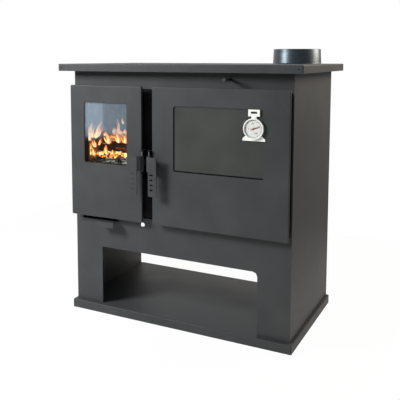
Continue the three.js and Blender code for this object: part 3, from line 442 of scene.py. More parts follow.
def tint_film(add, at, tint):
    """Tint of the oven glass in clouds 130 mm wide, with a painted shadow line at its left and lower
    edges.
    """
    low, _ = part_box("oven_door_glass")
    shadow_side, shadow_top = low.x + WINDOW_LAP + 0.0042, low.z + WINDOW_LAP + 0.0046
    fade = 0.0012
    x, _, z = add("SeparateXYZ", inputs=[at])
    clouds = add("TexNoise", inputs={"Vector": at, "Scale": 1000 / 130, "Detail": 1.0})["Fac"]
    tones = add("ValToRGB", inputs=[clouds], stops=[
        (0.35, shade(tint, 0.86)), (0.65, shade(tint, 1.1)),
    ])["Color"]
    # painted shadow: a black line just inside the opening's left and lower edges
    upright = add("MapRange", SMOOTH, [x, shadow_side, shadow_side - fade])["Result"]
    level = add("MapRange", SMOOTH, [z, shadow_top, shadow_top - fade])["Result"]
    painted_shadow = add("Math", MAXIMUM, [upright, level])["Value"]
    colour = add("Mix", {"data_type": "RGBA"}, {
        "Factor": painted_shadow, "A": tones, "B": rgb("#0a0a0a"),
    })["Result"]
    return colour, add("Math", MAXIMUM, [painted_shadow, 0.7])["Value"]


def oven_glass(colours):
    """Tinted glass of the oven door: olive grey, and the dark oven barely shows."""
    return glass_sheet("tinted_oven_glass", "#b9bbb8", tint_film, colours.oven_glass, 0.12)


def dust_film(_add, _at, dust):
    """An even film of dust: 2 % of a pale colour."""
    return shade(dust, 1), 0.02


def lens_glass(colours):
    """Thin clear lens of the thermometer, barely dusty."""
    return glass_sheet("clear_lens_glass", "#ffffff", dust_film, colours.enamel, 0.03)


def bark(name, dark, light, glow, heat_from):
    """Charred firewood: long bark plates about 9 mm wide, dark in their cracks, grey where ash lies.

    Where noise with cells 12 mm wide and 40 mm long is above heat_from, the plates glow, at most
    with the strength glow.
    """
    material, add = new_material(name)
    at = add("TexCoord")["Object"]
    along = add("Mapping", inputs={"Vector": at, "Scale": (0.3, 1.0, 1.0)})["Vector"]
    plates = add("TexVoronoi", {"feature": "DISTANCE_TO_EDGE"}, {
        "Vector": along, "Scale": 1000 / 9, "Randomness": 1.0,
    })["Distance"]
    grain = add("TexNoise", inputs={"Vector": along, "Scale": 1000 / 5, "Detail": 4.0})["Fac"]
    warm = add("TexNoise", inputs={"Vector": along, "Scale": 1000 / 12, "Detail": 3.0})["Fac"]
    whole = add("MapRange", SMOOTH, [plates, 0.0, 0.14, 0.25, 1.0])["Result"]
    tone = add("Math", MULTIPLY, [grain, whole])["Value"]
    colour = add("ValToRGB", inputs=[tone], stops=[
        (0.12, rgb("#070606")), (0.3, rgb(dark)), (0.62, rgb(light)),
    ])["Color"]
    lit = add("MapRange", SMOOTH, [warm, heat_from, heat_from + 0.2])["Result"]
    heat = add("Math", MULTIPLY, [lit, whole])["Value"]
    tint = add("ValToRGB", inputs=[heat], stops=[
        (0.0, rgb("#3a0f04")), (0.4, rgb("#96300a")), (0.85, rgb("#d8600f")), (1.0, rgb("#f49a34")),
    ])["Color"]
    bump = add("Bump", inputs={"Height": plates, "Strength": 0.9, "Distance": 0.003})["Normal"]
    return surfaced(material, add("BsdfPrincipled", inputs={
        "Base Color": colour, "Roughness": 0.9, "Normal": bump, "Emission Color": tint,
        "Emission Strength": add("Math", MULTIPLY, [heat, glow])["Value"],
    })["BSDF"])


def ember():
    """Glowing charcoal under grey ash: hot where the noise is low, ash where it is high."""
    material, add = new_material("glowing_charcoal")
    at = add("TexCoord")["Object"]
    heat = add("TexNoise", inputs={"Vector": at, "Scale": 1000 / 12, "Detail": 3.0})["Fac"]
    ash = add("ValToRGB", inputs=[heat], stops=[
        (0.35, rgb("#1c1512")), (0.65, rgb("#6b6460")),
    ])["Color"]
    hot = add("ValToRGB", inputs=[heat], stops=[
        (0.38, rgb("#ffdf96")), (0.48, rgb("#ff7c1e")), (0.58, rgb("#000000")),
    ])["Color"]
    return surfaced(material, add("BsdfPrincipled", inputs={
        "Base Color": ash, "Roughness": 0.95, "Emission Color": hot, "Emission Strength": 3.0,
        "Normal": grain_bump(add, at, 3.0, 0.6, 0.8),
    })["BSDF"])


def flame():
    """Flame: light only, near white at its root and orange at its rim, and clear past the rim.

    The piece's own UV map runs across (u) and up (v) the flame, and its attribute "pale" says how
    thin and pink the flame is.
    """
    material, add = new_material("wood_flame")
    uv = add("UVMap", {"uv_map": "flame"})["UV"]
    across, up, _ = add("SeparateXYZ", inputs=[uv])
    pale = add("Attribute", {"attribute_name": "pale"})["Fac"]
    side = add("Math", {"operation": "SUBTRACT"}, [across, 0.5])["Value"]
    off = add("Math", {"operation": "ABSOLUTE"}, [side])["Value"]
    rim = add("MapRange", SMOOTH, [off, 0.02, 0.44])["Result"]
    aloft = add("MapRange", SMOOTH, [up, 0.35, 1.0, 0.0, 0.85])["Result"]
    cool = add("Math", MAXIMUM, [rim, aloft])["Value"]
    hot = add("ValToRGB", inputs=[cool], stops=[
        (0.0, rgb("#ffeeb0")), (0.25, rgb("#ffc850")), (0.55, rgb("#ff8a1c")), (1.0, rgb("#cc3c06")),
    ])["Color"]
    pink = add("ValToRGB", inputs=[up], stops=[
        (0.0, rgb("#fdf1e4")), (0.45, rgb("#f6bf96")), (1.0, rgb("#cf8478")),
    ])["Color"]
    colour = add("Mix", {"data_type": "RGBA"}, {"Factor": pale, "A": hot, "B": pink})["Result"]
    width = add("MapRange", SMOOTH, [off, 0.5, 0.32])["Result"]
    tip = add("MapRange", SMOOTH, [up, 1.0, 0.75])["Result"]
    root = add("MapRange", SMOOTH, [up, 0.0, 0.12])["Result"]
    shown = add("MapRange", SMOOTH, [pale, 0.0, 1.0, 1.0, 0.55])["Result"]
    for fade in (width, tip, root):
        shown = add("Math", MULTIPLY, [shown, fade])["Value"]
    light = add("Emission", inputs={"Color": colour, "Strength": 1.9})["Emission"]
    clear = add("BsdfTransparent")["BSDF"]
    return surfaced(material, add("MixShader", inputs=[shown, clear, light])["Shader"])


def studio_floor():
    """Seamless white paper: as bright as the background, and it still takes a soft shadow.

    Gloss sees it half as bright, so that satin paint beside it doesn't turn pale.
    """
    material, add = new_material("white_studio_paper")
    path = add("LightPath")
    seen = add("Math", MAXIMUM, [path["Is Camera Ray"], path["Is Transmission Ray"]])["Value"]
    full = add("Math", MULTIPLY, [seen, 0.97])["Value"]
    half = add("Math", MULTIPLY, [path["Is Glossy Ray"], 0.45])["Value"]
    share = add("Math", MAXIMUM, [full, half])["Value"]
    paper = add("BsdfDiffuse", inputs={"Color": rgb("#fbfbfb")})["BSDF"]
    white = add("Emission", inputs={"Color": rgb("#ffffff"), "Strength": 1.0})["Emission"]
    return surfaced(material, add("MixShader", inputs=[share, paper, white])["Shader"])


# Which CAD nodes have which finish.
FINISHES = {
    casing_paint: [
        "base_tray", "side_panel_left", "side_panel_right", "front_panel", "rear_panel", "top_frame",
        "fire_door_skin", "oven_door_skin", "fire_door_handle", "oven_door_handle", "air_slider",
        "damper_rod",
    ],
    matt_black: [
        "base_stiffener", "face_plate", "inner_floor", "inner_wall_left", "inner_wall_right",
        "inner_back", "partition", "grate_ledge", "ash_floor", "flue_box", "damper_plate",
        "fire_door_frame", "oven_door_frame", "fire_door_glass_clamp", "oven_door_glass_clamp",
        "air_slider_guide",
    ],
    cast_iron: ["hob_plate", "hob_ring", "hob_lid", "grate", "baffle"],
    firebrick: ["firebrick_left", "firebrick_right", "firebrick_back"],
    sheet_steel: ["ash_pan", "oven_liner"],
    bright_steel: [
        "catch_roller", "oven_shelf", "fire_door_hinge_pin_lower", "fire_door_hinge_pin_upper",
        "oven_door_hinge_pin_lower", "oven_door_hinge_pin_upper", "fire_door_latch_pin",
        "oven_door_latch_pin", "thermometer_nut",
    ],
    thermometer_enamel: ["thermometer_case"],
    dial_white: ["thermometer_dial"],
    needle_red: ["thermometer_needle"],
    lens_glass: ["thermometer_lens"],
    fire_glass: ["fire_door_glass"],
    oven_glass: ["oven_door_glass"],
}


# ---------------------------------------------------------------- settings

COLOUR = {"size": 4, "min": 0, "max": 1, "subtype": "COLOR"}    # what the colour settings share


class CookstoveStudio(bpy.types.PropertyGroup):
    """Camera and light. The camera was fitted to the photograph's corners of the stove."""

    camera_place: bpy.props.FloatVectorProperty(
        name="Camera place", description="Where the lens is", default=(0.9002, -1.9269, 0.8693),
        subtype="XYZ", unit="LENGTH")
    camera_turn: bpy.props.FloatProperty(
        name="Camera turn", description="Turn to the left about Z", default=0.4805, subtype="ANGLE")
    camera_dip: bpy.props.FloatProperty(
        name="Camera dip", description="Tilt below the horizon", default=0.0964, subtype="ANGLE")
    focal_px: bpy.props.FloatProperty(
        name="Focal length", description="In pixels of the photograph", default=619.25, min=50)
    centre_px: bpy.props.FloatVectorProperty(
        name="Optical centre", description="In pixels of the photograph", size=2,
        default=(176.15, 117.88))
    key_power: bpy.props.FloatProperty(
        name="Key light", description="Power of the soft light at the front left", default=64.0,
        unit="POWER")
    side_power: bpy.props.FloatProperty(
        name="Side light", description="Power of the light at the right, behind", default=14.0,
        unit="POWER")
    sky: bpy.props.FloatProperty(
        name="Sky", description="Strength of the even light from all round", default=0.28, min=0)
    room: bpy.props.FloatProperty(
        name="Room", description="How bright gloss sees the room in front of the stove", default=0.15,
        min=0)


class CookstoveColours(bpy.types.PropertyGroup):
    """Colour of each finish; its material clouds it with a darker tone."""

    casing: bpy.props.FloatVectorProperty(
        name="Casing", description="Stove paint of the casing, doors and handles",
        default=rgb("#404142"), **COLOUR)
    inside: bpy.props.FloatVectorProperty(
        name="Inside", description="Black primer behind the doors",
        default=rgb("#18181a"), **COLOUR)
    iron: bpy.props.FloatVectorProperty(
        name="Cast iron", description="Hob, grate and baffle",
        default=rgb("#333335"), **COLOUR)
    brick: bpy.props.FloatVectorProperty(
        name="Firebrick", description="Fireclay before soot",
        default=rgb("#a8937a"), **COLOUR)
    steel: bpy.props.FloatVectorProperty(
        name="Steel", description="Oven liner, ash pan, pins and shelf",
        default=rgb("#8d8f90"), **COLOUR)
    spigot: bpy.props.FloatVectorProperty(
        name="Flue spigot", description="Metallic paint of the spigot",
        default=rgb("#48545c"), **COLOUR)
    enamel: bpy.props.FloatVectorProperty(
        name="Enamel", description="Case and dial of the thermometer",
        default=rgb("#f3f4ee"), **COLOUR)
    needle: bpy.props.FloatVectorProperty(
        name="Needle", description="Needle of the thermometer",
        default=rgb("#a04e42"), **COLOUR)
    oven_glass: bpy.props.FloatVectorProperty(
        name="Oven glass", description="Tint of the oven window",
        default=rgb("#575957"), **COLOUR)


class CookstoveSizes(bpy.types.PropertyGroup):
    """Sizes of the pieces that are made here."""

    spigot_wall: bpy.props.FloatProperty(
        name="Spigot wall", description="Thickness of the flue spigot's wall", default=0.004,
        min=0.001, max=0.01, unit="LENGTH")
    rope_width: bpy.props.FloatProperty(
        name="Rope width", description="Width of the door seals", default=0.0088, min=0.004,
        max=0.0088, unit="LENGTH")
    rope_lay: bpy.props.FloatProperty(
        name="Rope lay", description="Length of one twist of a door seal", default=0.006, min=0.003,
        unit="LENGTH")
    bark_depth: bpy.props.FloatProperty(
        name="Bark depth", description="Depth of the ridges on the logs", default=0.0022, min=0,
        max=0.004, unit="LENGTH")
    digit_height: bpy.props.FloatProperty(
        name="Digit height", description="Text size of the thermometer's numbers", default=0.0062,
        min=0.003, max=0.008, unit="LENGTH")


class CookstoveFire(bpy.types.PropertyGroup):
    """Flames and embers."""

    flame_size: bpy.props.FloatProperty(
        name="Flame size", description="Width and height of the flames, as a factor", default=1.0,
        min=0.1, subtype="FACTOR")
    embers: bpy.props.IntProperty(name="Embers", description="How many embers", default=170, min=1)


# ---------------------------------------------------------------- operators

class COOKSTOVE_OT_stage(bpy.types.Operator):
    """Make the camera, the lamps, the sky and the floor"""

    bl_idname = "cookstove.stage"
    bl_label = "Stage"

    def execute(self, context):
        studio = context.scene.cookstove_studio
        self.camera(context, studio)
        self.lamps(context, studio)
        self.sky(context, studio)
        floor = mesh_object("studio_floor", PAPER, [(0, 1, 2, 3)], studio_floor(), smooth=False)
        return {"FINISHED"}

    def camera(self, context, studio):
        """A camera with the photograph's lens, place and crop."""
        data = bpy.data.cameras.new("photo_camera")
        data.sensor_width = SENSOR_MM
        data.lens = studio.focal_px / PHOTO_PX * SENSOR_MM
        data.shift_x = (PHOTO_PX / 2 - studio.centre_px[0]) / PHOTO_PX
        data.shift_y = (studio.centre_px[1] - PHOTO_PX / 2) / PHOTO_PX
        data.clip_start, data.clip_end = 0.05, 50
        camera = bpy.data.objects.new("photo_camera", data)
        camera.location = studio.camera_place
        camera.rotation_euler = (math.pi / 2 - studio.camera_dip, 0, studio.camera_turn)
        context.scene.collection.objects.link(camera)
        context.scene.camera = camera

    def lamps(self, context, studio):
        """Two square lamps that look at the middle of the stove."""
        for name, place, size, power, tint in [
            ("key_light", (-1.4, -1.5, 1.54), 0.65, studio.key_power, "#fbfdfd"),
            ("side_light", (1.05, 0.6, 1.25), 0.5, studio.side_power, "#fff0dc"),
        ]:
            data = bpy.data.lights.new(name, "AREA")
            data.energy, data.size, data.color = power, size, rgb(tint)[:3]
            lamp = bpy.data.objects.new(name, data)
            lamp.location = place
            lamp.visible_camera = False
            aim = Vector(LAMP_AIM) - Vector(place)
            lamp.rotation_euler = aim.to_track_quat("-Z", "Y").to_euler()
            context.scene.collection.objects.link(lamp)

    def sky(self, context, studio):
        """White to the camera, and an even light. Gloss and glass see white only behind the stove, on
        its left and far to its right, and a dim room elsewhere."""
        world = bpy.data.worlds.new("studio_sky")
        world.use_nodes = True
        add = emptied(world.node_tree)
        way = add("TexCoord")["Generated"]
        x, y, _ = add("SeparateXYZ", inputs=[way])
        behind = add("MapRange", SMOOTH, [y, -0.2, 0.4])["Result"]
        left = add("MapRange", SMOOTH, [x, -0.05, 0.2, 1.0, 0.1])["Result"]
        right = add("MapRange", SMOOTH, [x, 0.55, 0.75])["Result"]
        sides = add("Math", MAXIMUM, [left, right])["Value"]
        pale = add("Math", MULTIPLY, [behind, sides])["Value"]
        backdrop = add("MapRange", SMOOTH, [pale, 0.0, 1.0, studio.room, 1.0])["Result"]
        path = add("LightPath")
        shiny = add("Math", MAXIMUM, [
            path["Is Glossy Ray"], path["Is Transmission Ray"],
        ])["Value"]
        even = add("MapRange", inputs={
            "Value": shiny, "To Min": studio.sky, "To Max": backdrop,
        })["Result"]
        strength = add("Math", MAXIMUM, [even, path["Is Camera Ray"]])["Value"]
        light = add("Background", inputs=[rgb("#ffffff"), strength])["Background"]
        add("OutputWorld", inputs=[light])
        context.scene.world = world


class COOKSTOVE_OT_finishes(bpy.types.Operator):
    """Give every CAD piece its finish"""

    bl_idname = "cookstove.finishes"
    bl_label = "Finishes"

    def execute(self, context):
        for finish, names in FINISHES.items():
            material = finish(context.scene.cookstove_colours)
            for name in names:
                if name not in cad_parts:
                    raise ValueError(f"no CAD node {name}")
                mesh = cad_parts[name].data
                mesh.materials.clear()
                mesh.materials.append(material)
        return {"FINISHED"}


class COOKSTOVE_OT_flue(bpy.types.Operator):
    """Turn the flue spigot as one smooth tapering tube"""

    bl_idname = "cookstove.flue"
    bl_label = "Flue spigot"

    def execute(self, context):
        low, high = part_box("flue_collar")
        foot, top = (high.x - low.x) / 2, high.z - low.z
        wall, flange, taper = context.scene.cookstove_sizes.spigot_wall, 0.003, 0.002
        r = foot - flange
        rim = r - taper
        profile = [
            (foot, 0), (foot - 0.0015, 0.0008), (r + 0.0004, 0.002), (r, 0.004),
            (rim, top - 0.0015), (rim - 0.0005, top - 0.0004), (rim - 0.001, top),
            (rim - wall + 0.001, top), (rim - wall, top - 0.0015), (r - wall, 0), (foot, 0),
        ]
        centre = ((low.x + high.x) / 2, (low.y + high.y) / 2, low.z)
        coat = flue_paint(context.scene.cookstove_colours)
        spigot = turned("flue_spigot", profile, centre, coat, sides=128)
        face_out(spigot)
        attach(spigot, "stove")
        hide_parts("flue_collar")
        return {"FINISHED"}


class COOKSTOVE_OT_logs(bpy.types.Operator):
    """Make the logs with ridged bark and split faces"""

    bl_idname = "cookstove.logs"
    bl_label = "Logs"

    def execute(self, context):
        barks = {
            "log_front": bark("ash_grey_log", "#211f20", "#b9b4b4", 0.6, 0.72),
            "log_rear": bark("charred_log", "#171011", "#3a2629", 1.3, 0.46),
            "log_top": bark("dark_log", "#180f10", "#3a2428", 0.8, 0.54),
            "log_back": bark("burning_log", "#3c1808", "#7a3410", 1.7, 0.12),
        }
        for k, (name, material) in enumerate(barks.items()):
            log = self.log(name.replace("log_", "firewood_"), node_points(name), k, material,
                           context.scene.cookstove_sizes.bark_depth)
            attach(log, "stove")
            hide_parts(name)
        return {"FINISHED"}

    def log(self, name, points, k, material, bark_depth):
        """A log inside its CAD solid: point (s, a) is at length s of its axis and angle a round it.

        Its radius is 0.965 of the solid's own at a, less ridges of bark as deep as bark_depth times
        0.5 + 0.5 sin(23 a + 2.2 sin(3.1 s + k) + k) sin(5 s + 7 a + k). Each end narrows by 7 % over
        the last 3 % of the half length.
        """
        rows, cols, share, reach, bevel, narrow = 60, 120, 0.965, 0.995, 0.03, 0.07
        centre = points.mean(0)
        axis = np.linalg.svd(points - centre, full_matrices=False)[2][0]
        axis = axis * np.sign(axis[0])
        side = np.cross([0, 0, 1.0], axis)
        side = side / np.linalg.norm(side)
        lift = np.cross(axis, side)
        along, across, up = (points - centre) @ axis, (points - centre) @ side, (points - centre) @ lift
        half = along.max()
        end = along > half * 0.9   # the corners at the solid's right-hand end
        angle = np.arctan2(up[end], across[end])
        radius = np.hypot(up[end], across[end])
        order = np.argsort(angle)
        a = np.linspace(-math.pi, math.pi, cols, endpoint=False)
        solid = np.interp(a, angle[order], radius[order], period=2 * math.pi)
        aa, ss = np.meshgrid(a, np.linspace(-1, 1, rows))
        wave = np.sin(23 * aa + 2.2 * np.sin(3.1 * ss + k) + k) * np.sin(5 * ss + 7 * aa + k)
        rim = np.clip((1 - np.abs(ss)) / bevel, 0, 1) ** 0.5
        r = (solid[None, :] * share - bark_depth * (0.5 + 0.5 * wave)) * (1 - narrow + narrow * rim)
        body = (centre + axis * (ss * half * reach)[..., None]
                + side * (r * np.cos(aa))[..., None] + lift * (r * np.sin(aa))[..., None])
        caps = [centre + axis * half * reach * e for e in (-1, 1)]
        points = np.vstack([body.reshape(-1, 3), caps])
        log = mesh_object(name, points, closed_faces(rows, cols), material)
        face_out(log)
        return log


class COOKSTOVE_OT_embers(bpy.types.Operator):
    """Lay the embers on the grate and on the front logs"""

    bl_idname = "cookstove.embers"
    bl_label = "Embers"

    def execute(self, context):
        count = context.scene.cookstove_fire.embers
        rng = np.random.default_rng(RNG_SEED)
        low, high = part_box("grate")
        band = np.minimum(np.arange(count) % 5, len(EMBER_BANDS) - 1)
        x = rng.uniform(low.x + 0.006, high.x - 0.006, count)
        depths = [rng.uniform(start, end, count) for start, end, _, _ in EMBER_BANDS]
        factor, raised = np.array(EMBER_BANDS)[band, 2:].T
        y = CASING_FRONT + np.choose(band, depths)
        bed = np.full(count, high.z)
        for log in ("log_front", "log_rear"):
            bed = np.maximum(bed, self.top_of(log, y))
        size = rng.uniform(*EMBER_SIZE, (count, 3)) * factor[:, None]
        z = bed + size[:, 2] * raised
        bed_piece = self.lumps(np.stack([x, y, z], -1), size, rng)
        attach(bed_piece, "stove")
        return {"FINISHED"}

    def top_of(self, log, y):
        """Height of a level log's back at the depths y, and zero past its sides."""
        points = node_points(log)
        upper = points[points[:, 2] > (points[:, 2].max() + points[:, 2].min()) / 2]
        order = np.argsort(upper[:, 1])
        return np.interp(y, upper[order, 1], upper[order, 2], left=0.0, right=0.0)

    def lumps(self, places, size, rng):
        """Each ember is a sphere of radius r(a, b) = 1 + 0.25 sin(3 a + p) sin(2 b + q), stretched."""
        rows, cols = 6, 12
        a = np.arange(cols) * 2 * math.pi / cols
        b = np.linspace(0, math.pi, rows + 2)[1:-1]
        bb, aa = np.meshgrid(b, a, indexing="ij")
        phase = rng.uniform(0, 6, (len(places), 2, 1, 1))
        r = 1 + 0.25 * np.sin(3 * aa + phase[:, 0]) * np.sin(2 * bb + phase[:, 1])
        ball = np.stack([r * np.sin(bb) * np.cos(aa), r * np.sin(bb) * np.sin(aa), r * np.cos(bb)], -1)
        poles = np.broadcast_to([[0, 0, 1.0], [0, 0, -1.0]], (len(places), 2, 3))
        lump = np.concatenate([ball.reshape(len(places), -1, 3), poles], 1)
        points = places[:, None] + lump * size[:, None]
        faces = copied_faces(closed_faces(rows, cols), len(places), points.shape[1])
        bed = mesh_object("ember_bed", points, faces, ember())
        face_out(bed)
        return bed


class COOKSTOVE_OT_stub(bpy.types.Operator):
    """Turn the hollow branch stub on the front log"""

    bl_idname = "cookstove.stub"
    bl_label = "Branch stub"

    def execute(self, context):
        pole = 0.0001              # radius of the first and the last ring
        profile = [
            (pole, 0), (0.0075, 0), (0.0078, 0.011), (0.0072, 0.0155), (0.0058, 0.0165),
            (0.0034, 0.0160), (0.0026, 0.0120), (0.0024, 0.0070), (pole, 0.0065),
        ]
        wood = bark("sawn_branch", "#3b3533", "#7d746d", 0.6, 0.7)
        stub = turned("branch_stub", profile, (0, 0, 0), wood, sides=96)
        points = mesh_points(stub.data)
        knot = 1 + 0.05 * np.sin(7 * np.arctan2(points[:, 1], points[:, 0]))
        forwards = np.stack([points[:, 0] * knot, -points[:, 2], points[:, 1] * knot], -1)
        stub.data.vertices.foreach_set("co", (forwards + STUB_PLACE).astype(np.float32).ravel())
        stub.data.update()
        face_out(stub)
        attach(stub, "stove")
        return {"FINISHED"}


class COOKSTOVE_OT_flames(bpy.types.Operator):
    """Raise the flames"""

    bl_idname = "cookstove.flames"
    bl_label = "Flames"

    def execute(self, context):
        table = np.array(FLAMES, float)
        table = np.vstack([table, self.wisps(table, 1), self.wisps(table, -1)])
        table = np.concatenate([table[:, :6] / 1000, table[:, 6:]], 1)
        flames = self.bodies(table, context.scene.cookstove_fire.flame_size)
        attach(flames, "stove")
        return {"FINISHED"}

    def wisps(self, table, side):
        """A thin tongue beside each flame, 0.42 as wide and about half as tall. Those ahead of the
        front log stay there."""
        k = np.arange(len(table))
        x, depth, low, tip_x, top, wide, pale = table.T
        tall = top - low
        deepest = np.where(depth > AHEAD_MM, DEEPEST_MM, AHEAD_MM)
        return np.stack([
            x + side * wide * 0.55, np.clip(depth + 1.5 * side, NEAREST_MM, deepest),
            low + tall * (0.04 + 0.03 * (k % 3)), tip_x + side * wide * (0.5 + 0.3 * (k % 2)),
            low + tall * (0.5 + 0.13 * ((k + side) % 3)), wide * 0.42, np.clip(pale + 0.1, 0, 1),
        ], -1)

    def bodies(self, table, scale):
        """A flame is a closed drop. At height v its half width is 2.8 w v^0.5 (1 - v)^1.2, its half
        depth a quarter of that, 3 mm at most, and its middle line sways in a sine over its height."""
        rows, cols = 26, 16
        v = np.linspace(0, 1, rows + 2)[1:-1]
        a = np.arange(cols) * 2 * math.pi / cols
        root_x, depth, root_z, tip_x, tip_z, wide, pale = (c[:, None] for c in table.T)
        tall = (tip_z - root_z) * scale
        turn = np.arange(len(table))[:, None] * 2.4
        sway = 0.09 * tall * (np.sin(5.5 * v + turn) - np.sin(turn) * (1 - v)) * v * (1 - v) * 2.2
        middle = root_x + (tip_x - root_x) * v ** 1.3 + sway
        width = 2.8 * wide * scale * v ** 0.5 * (1 - v) ** 1.2
        x = middle[..., None] + width[..., None] * np.cos(a)
        y = (CASING_FRONT + depth)[..., None] + np.minimum(0.25 * width, 0.003)[..., None] * np.sin(a)
        z = np.broadcast_to((root_z + tall * v)[..., None], x.shape)
        body = np.stack([x, y, z], -1).reshape(len(table), -1, 3)
        root = np.stack([root_x, CASING_FRONT + depth, root_z], -1)
        tip = np.stack([tip_x, CASING_FRONT + depth, root_z + tall], -1)
        points = np.concatenate([body, root, tip], 1)
        across = np.broadcast_to((np.cos(a) + 1) / 2, (rows, cols)).ravel()
        up = np.repeat(v, cols)
        uv = np.stack([np.append(across, [0.5, 0.5]), np.append(up, [0.0, 1.0])], -1)
        faces = copied_faces(closed_faces(rows, cols), len(table), points.shape[1])
        flames = mesh_object("flames", points, faces, flame())
        corner = np.zeros(len(flames.data.loops), np.int32)
        flames.data.loops.foreach_get("vertex_index", corner)
        layer = flames.data.uv_layers.new(name="flame")
        layer.data.foreach_set("uv", np.tile(uv, (len(table), 1))[corner].ravel())
        tint = flames.data.attributes.new("pale", "FLOAT", "POINT")
        tint.data.foreach_set("value", np.repeat(pale.ravel(), points.shape[1]).astype(np.float32))
        return flames


class COOKSTOVE_OT_seals(bpy.types.Operator):
    """Wind the knitted rope round the back of each door"""

    bl_idname = "cookstove.seals"
    bl_label = "Door seals"

    def execute(self, context):
        material = seal_rope()
        for body in ("fire_door", "oven_door"):
            low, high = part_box(f"{body}_seal")
            rope = self.rope(f"{body}_rope", low, high, material, context.scene.cookstove_sizes)
            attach(rope, body)
            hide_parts(f"{body}_seal")
        return {"FINISHED"}

    def rope(self, name, low, high, material, sizes):
        """A closed rope: point (s, a) is the rounded rectangle's point at length s, plus an ellipse
        at angle a whose size is 1 + 0.06 cos(4 a + 2 pi s / lay), so four strands wind round it."""
        relief, strands, sides, corner = 0.06, 4, 16, 0.007
        wide, deep = sizes.rope_width / 2, (high.y - low.y) / 2 / (1 + relief)
        inset = wide * (1 + relief)
        path, tangent, length = rounded_path(
            low.x + inset, high.x - inset, low.z + inset, high.z - inset, corner)
        count = len(path)
        s = np.arange(count) * length / count
        turns = round(length / sizes.rope_lay)
        a = np.arange(sides) * 2 * math.pi / sides
        strand = 1 + relief * np.cos(strands * a[None, :] + 2 * math.pi * turns * s[:, None] / length)
        across = np.stack([tangent[:, 1], -tangent[:, 0]], -1)
        flat = path[:, None] + across[:, None] * (wide * strand * np.cos(a))[..., None]
        y = (low.y + high.y) / 2 + deep * strand * np.sin(a)
        grid = np.stack([flat[..., 0], y, flat[..., 1]], -1)
        faces = grid_faces(count + 1, sides, wrap=True) % (count * sides)
        rope = mesh_object(name, grid, faces, material)
        face_out(rope)
        return rope


def rounded_path(x0, x1, z0, z1, radius, step=0.0012):
    """Evenly spaced points and tangents round a rectangle with round corners, and its length."""
    a = np.linspace(0, math.pi / 2, 24)
    corners = [
        (x1 - radius, z1 - radius), (x0 + radius, z1 - radius),
        (x0 + radius, z0 + radius), (x1 - radius, z0 + radius),
    ]
    turns = [a + k * math.pi / 2 for k in range(len(corners))]
    arcs = [
        np.stack([x + radius * np.cos(turn), z + radius * np.sin(turn)], -1)
        for (x, z), turn in zip(corners, turns)
    ]
    bends = np.vstack([*arcs, arcs[0][:1]])
    reach = np.append(0, np.cumsum(np.linalg.norm(np.diff(bends, axis=0), axis=1)))
    at = np.linspace(0, reach[-1], round(reach[-1] / step), endpoint=False)
    path = np.stack([np.interp(at, reach, bends[:, 0]), np.interp(at, reach, bends[:, 1])], -1)
    tangent = np.roll(path, -1, 0) - np.roll(path, 1, 0)
    return path, tangent / np.linalg.norm(tangent, axis=1)[:, None], reach[-1]


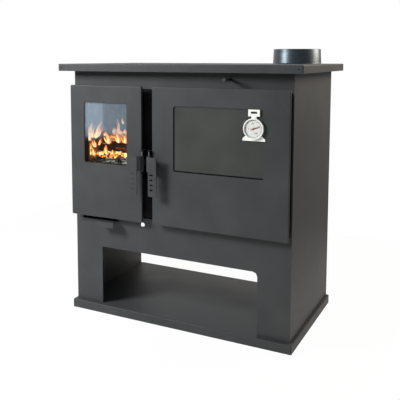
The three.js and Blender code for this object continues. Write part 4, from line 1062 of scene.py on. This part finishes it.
class COOKSTOVE_OT_dial(bpy.types.Operator):
    """Print the scale of the oven thermometer"""

    bl_idname = "cookstove.dial"
    bl_label = "Thermometer scale"

    def execute(self, context):
        low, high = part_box("thermometer_dial")
        centre = ((low.x + high.x) / 2, low.y - INK_GAP, (low.z + high.z) / 2)
        height = context.scene.cookstove_sizes.digit_height
        points, faces = self.ticks(centre, (high.x - low.x) / 2)
        for value in (0, 100, 200, 300):
            turn = math.radians(TICK_START + TICK_STEP * value / 10)
            more, rings = self.number(str(value), turn, centre, height)
            faces += [[i + len(points) for i in ring] for ring in rings]
            points = np.vstack([points, more])
        ink = lacquer("black_dial_ink", rgb("#262626"), 0.6)
        scale = mesh_object("dial_scale", points, faces, ink, smooth=False)
        wall = scale.modifiers.new("ink", "SOLIDIFY")
        wall.thickness, wall.offset = INK_THICKNESS, -1
        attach(scale, "oven_door")
        return {"FINISHED"}

    def ticks(self, centre, radius):
        """Ticks along radii, every fifth one longer and wider, and a thin ring outside them."""
        k = np.arange(TICKS)[:, None]
        turn = np.radians(TICK_START + TICK_STEP * k)
        fifth = k % 5 == 0
        inner, outer, edge = radius * np.where(fifth, 0.74, 0.81), radius * 0.9, radius * 0.925
        half = np.where(fifth, 0.0004, 0.00022)
        out = np.concatenate([np.sin(turn), np.cos(turn)], 1)
        wide = np.concatenate([np.cos(turn), -np.sin(turn)], 1) * half
        bars = np.stack([
            out * inner - wide, out * outer - wide, out * outer + wide, out * inner + wide,
        ], 1).reshape(-1, 2)
        a = np.linspace(0, 2 * math.pi, DIAL_SIDES, endpoint=False)
        circle = np.stack([np.sin(a), np.cos(a)], -1)
        flat = np.vstack([bars, circle * outer, circle * edge])
        level = np.full(len(flat), centre[1])
        points = np.stack([centre[0] + flat[:, 0], level, centre[2] + flat[:, 1]], -1)
        faces = [[4 * i + 3, 4 * i + 2, 4 * i + 1, 4 * i] for i in range(TICKS)]
        faces += [list(f)[::-1] for f in grid_faces(2, DIAL_SIDES, wrap=True) + len(bars)]
        return points, faces

    def number(self, text, turn, centre, height):
        """One number of the scale, upright, as the points and faces of its letters."""
        curve = bpy.data.curves.new("number", "FONT")
        curve.body, curve.size = text, height
        curve.align_x, curve.align_y = "CENTER", "CENTER"
        letters = bpy.data.objects.new("number", curve)
        bpy.context.scene.collection.objects.link(letters)
        mesh = bpy.data.meshes.new_from_object(
            letters.evaluated_get(bpy.context.evaluated_depsgraph_get()))
        bpy.data.objects.remove(letters)
        flat = mesh_points(mesh)
        x = centre[0] + NUMBER_REACH * math.sin(turn) + flat[:, 0]
        z = centre[2] + NUMBER_REACH * math.cos(turn) + flat[:, 1]
        rings = [list(p.vertices) for p in mesh.polygons]
        return np.stack([x, np.full(len(flat), centre[1]), z], -1), rings


class COOKSTOVE_PT_panel(bpy.types.Panel):
    """Lists the pieces of the cookstove"""

    bl_idname = "COOKSTOVE_PT_panel"
    bl_label = "Cookstove"
    bl_space_type = "VIEW_3D"
    bl_region_type = "UI"
    bl_category = "Cookstove"

    def draw(self, context):
        for operator in OPERATORS:
            self.layout.operator(operator.bl_idname)
        for name, settings in SETTINGS.items():
            box = self.layout.box()
            for key in settings.__annotations__:
                box.prop(getattr(context.scene, name), key)


OPERATORS = (
    COOKSTOVE_OT_stage, COOKSTOVE_OT_finishes, COOKSTOVE_OT_flue, COOKSTOVE_OT_seals, COOKSTOVE_OT_dial,
    COOKSTOVE_OT_logs, COOKSTOVE_OT_stub, COOKSTOVE_OT_embers, COOKSTOVE_OT_flames,
)
SETTINGS = {
    "cookstove_studio": CookstoveStudio, "cookstove_colours": CookstoveColours,
    "cookstove_sizes": CookstoveSizes, "cookstove_fire": CookstoveFire,
}
CLASSES = (*SETTINGS.values(), *OPERATORS, COOKSTOVE_PT_panel)


def register():
    """Registers the classes and hangs the settings on the scene."""
    for cls in CLASSES:
        bpy.utils.register_class(cls)
    for name, settings in SETTINGS.items():
        setattr(bpy.types.Scene, name, bpy.props.PointerProperty(type=settings))


def unregister():
    """Undoes register."""
    for name in SETTINGS:
        delattr(bpy.types.Scene, name)
    for cls in reversed(CLASSES):
        bpy.utils.unregister_class(cls)


def main():
    register()
    bpy.context.scene.view_settings.view_transform = "Standard"
    for operator in OPERATORS:
        group, name = operator.bl_idname.split(".")
        getattr(getattr(bpy.ops, group), name)()


if __name__ == "__main__":
    main()
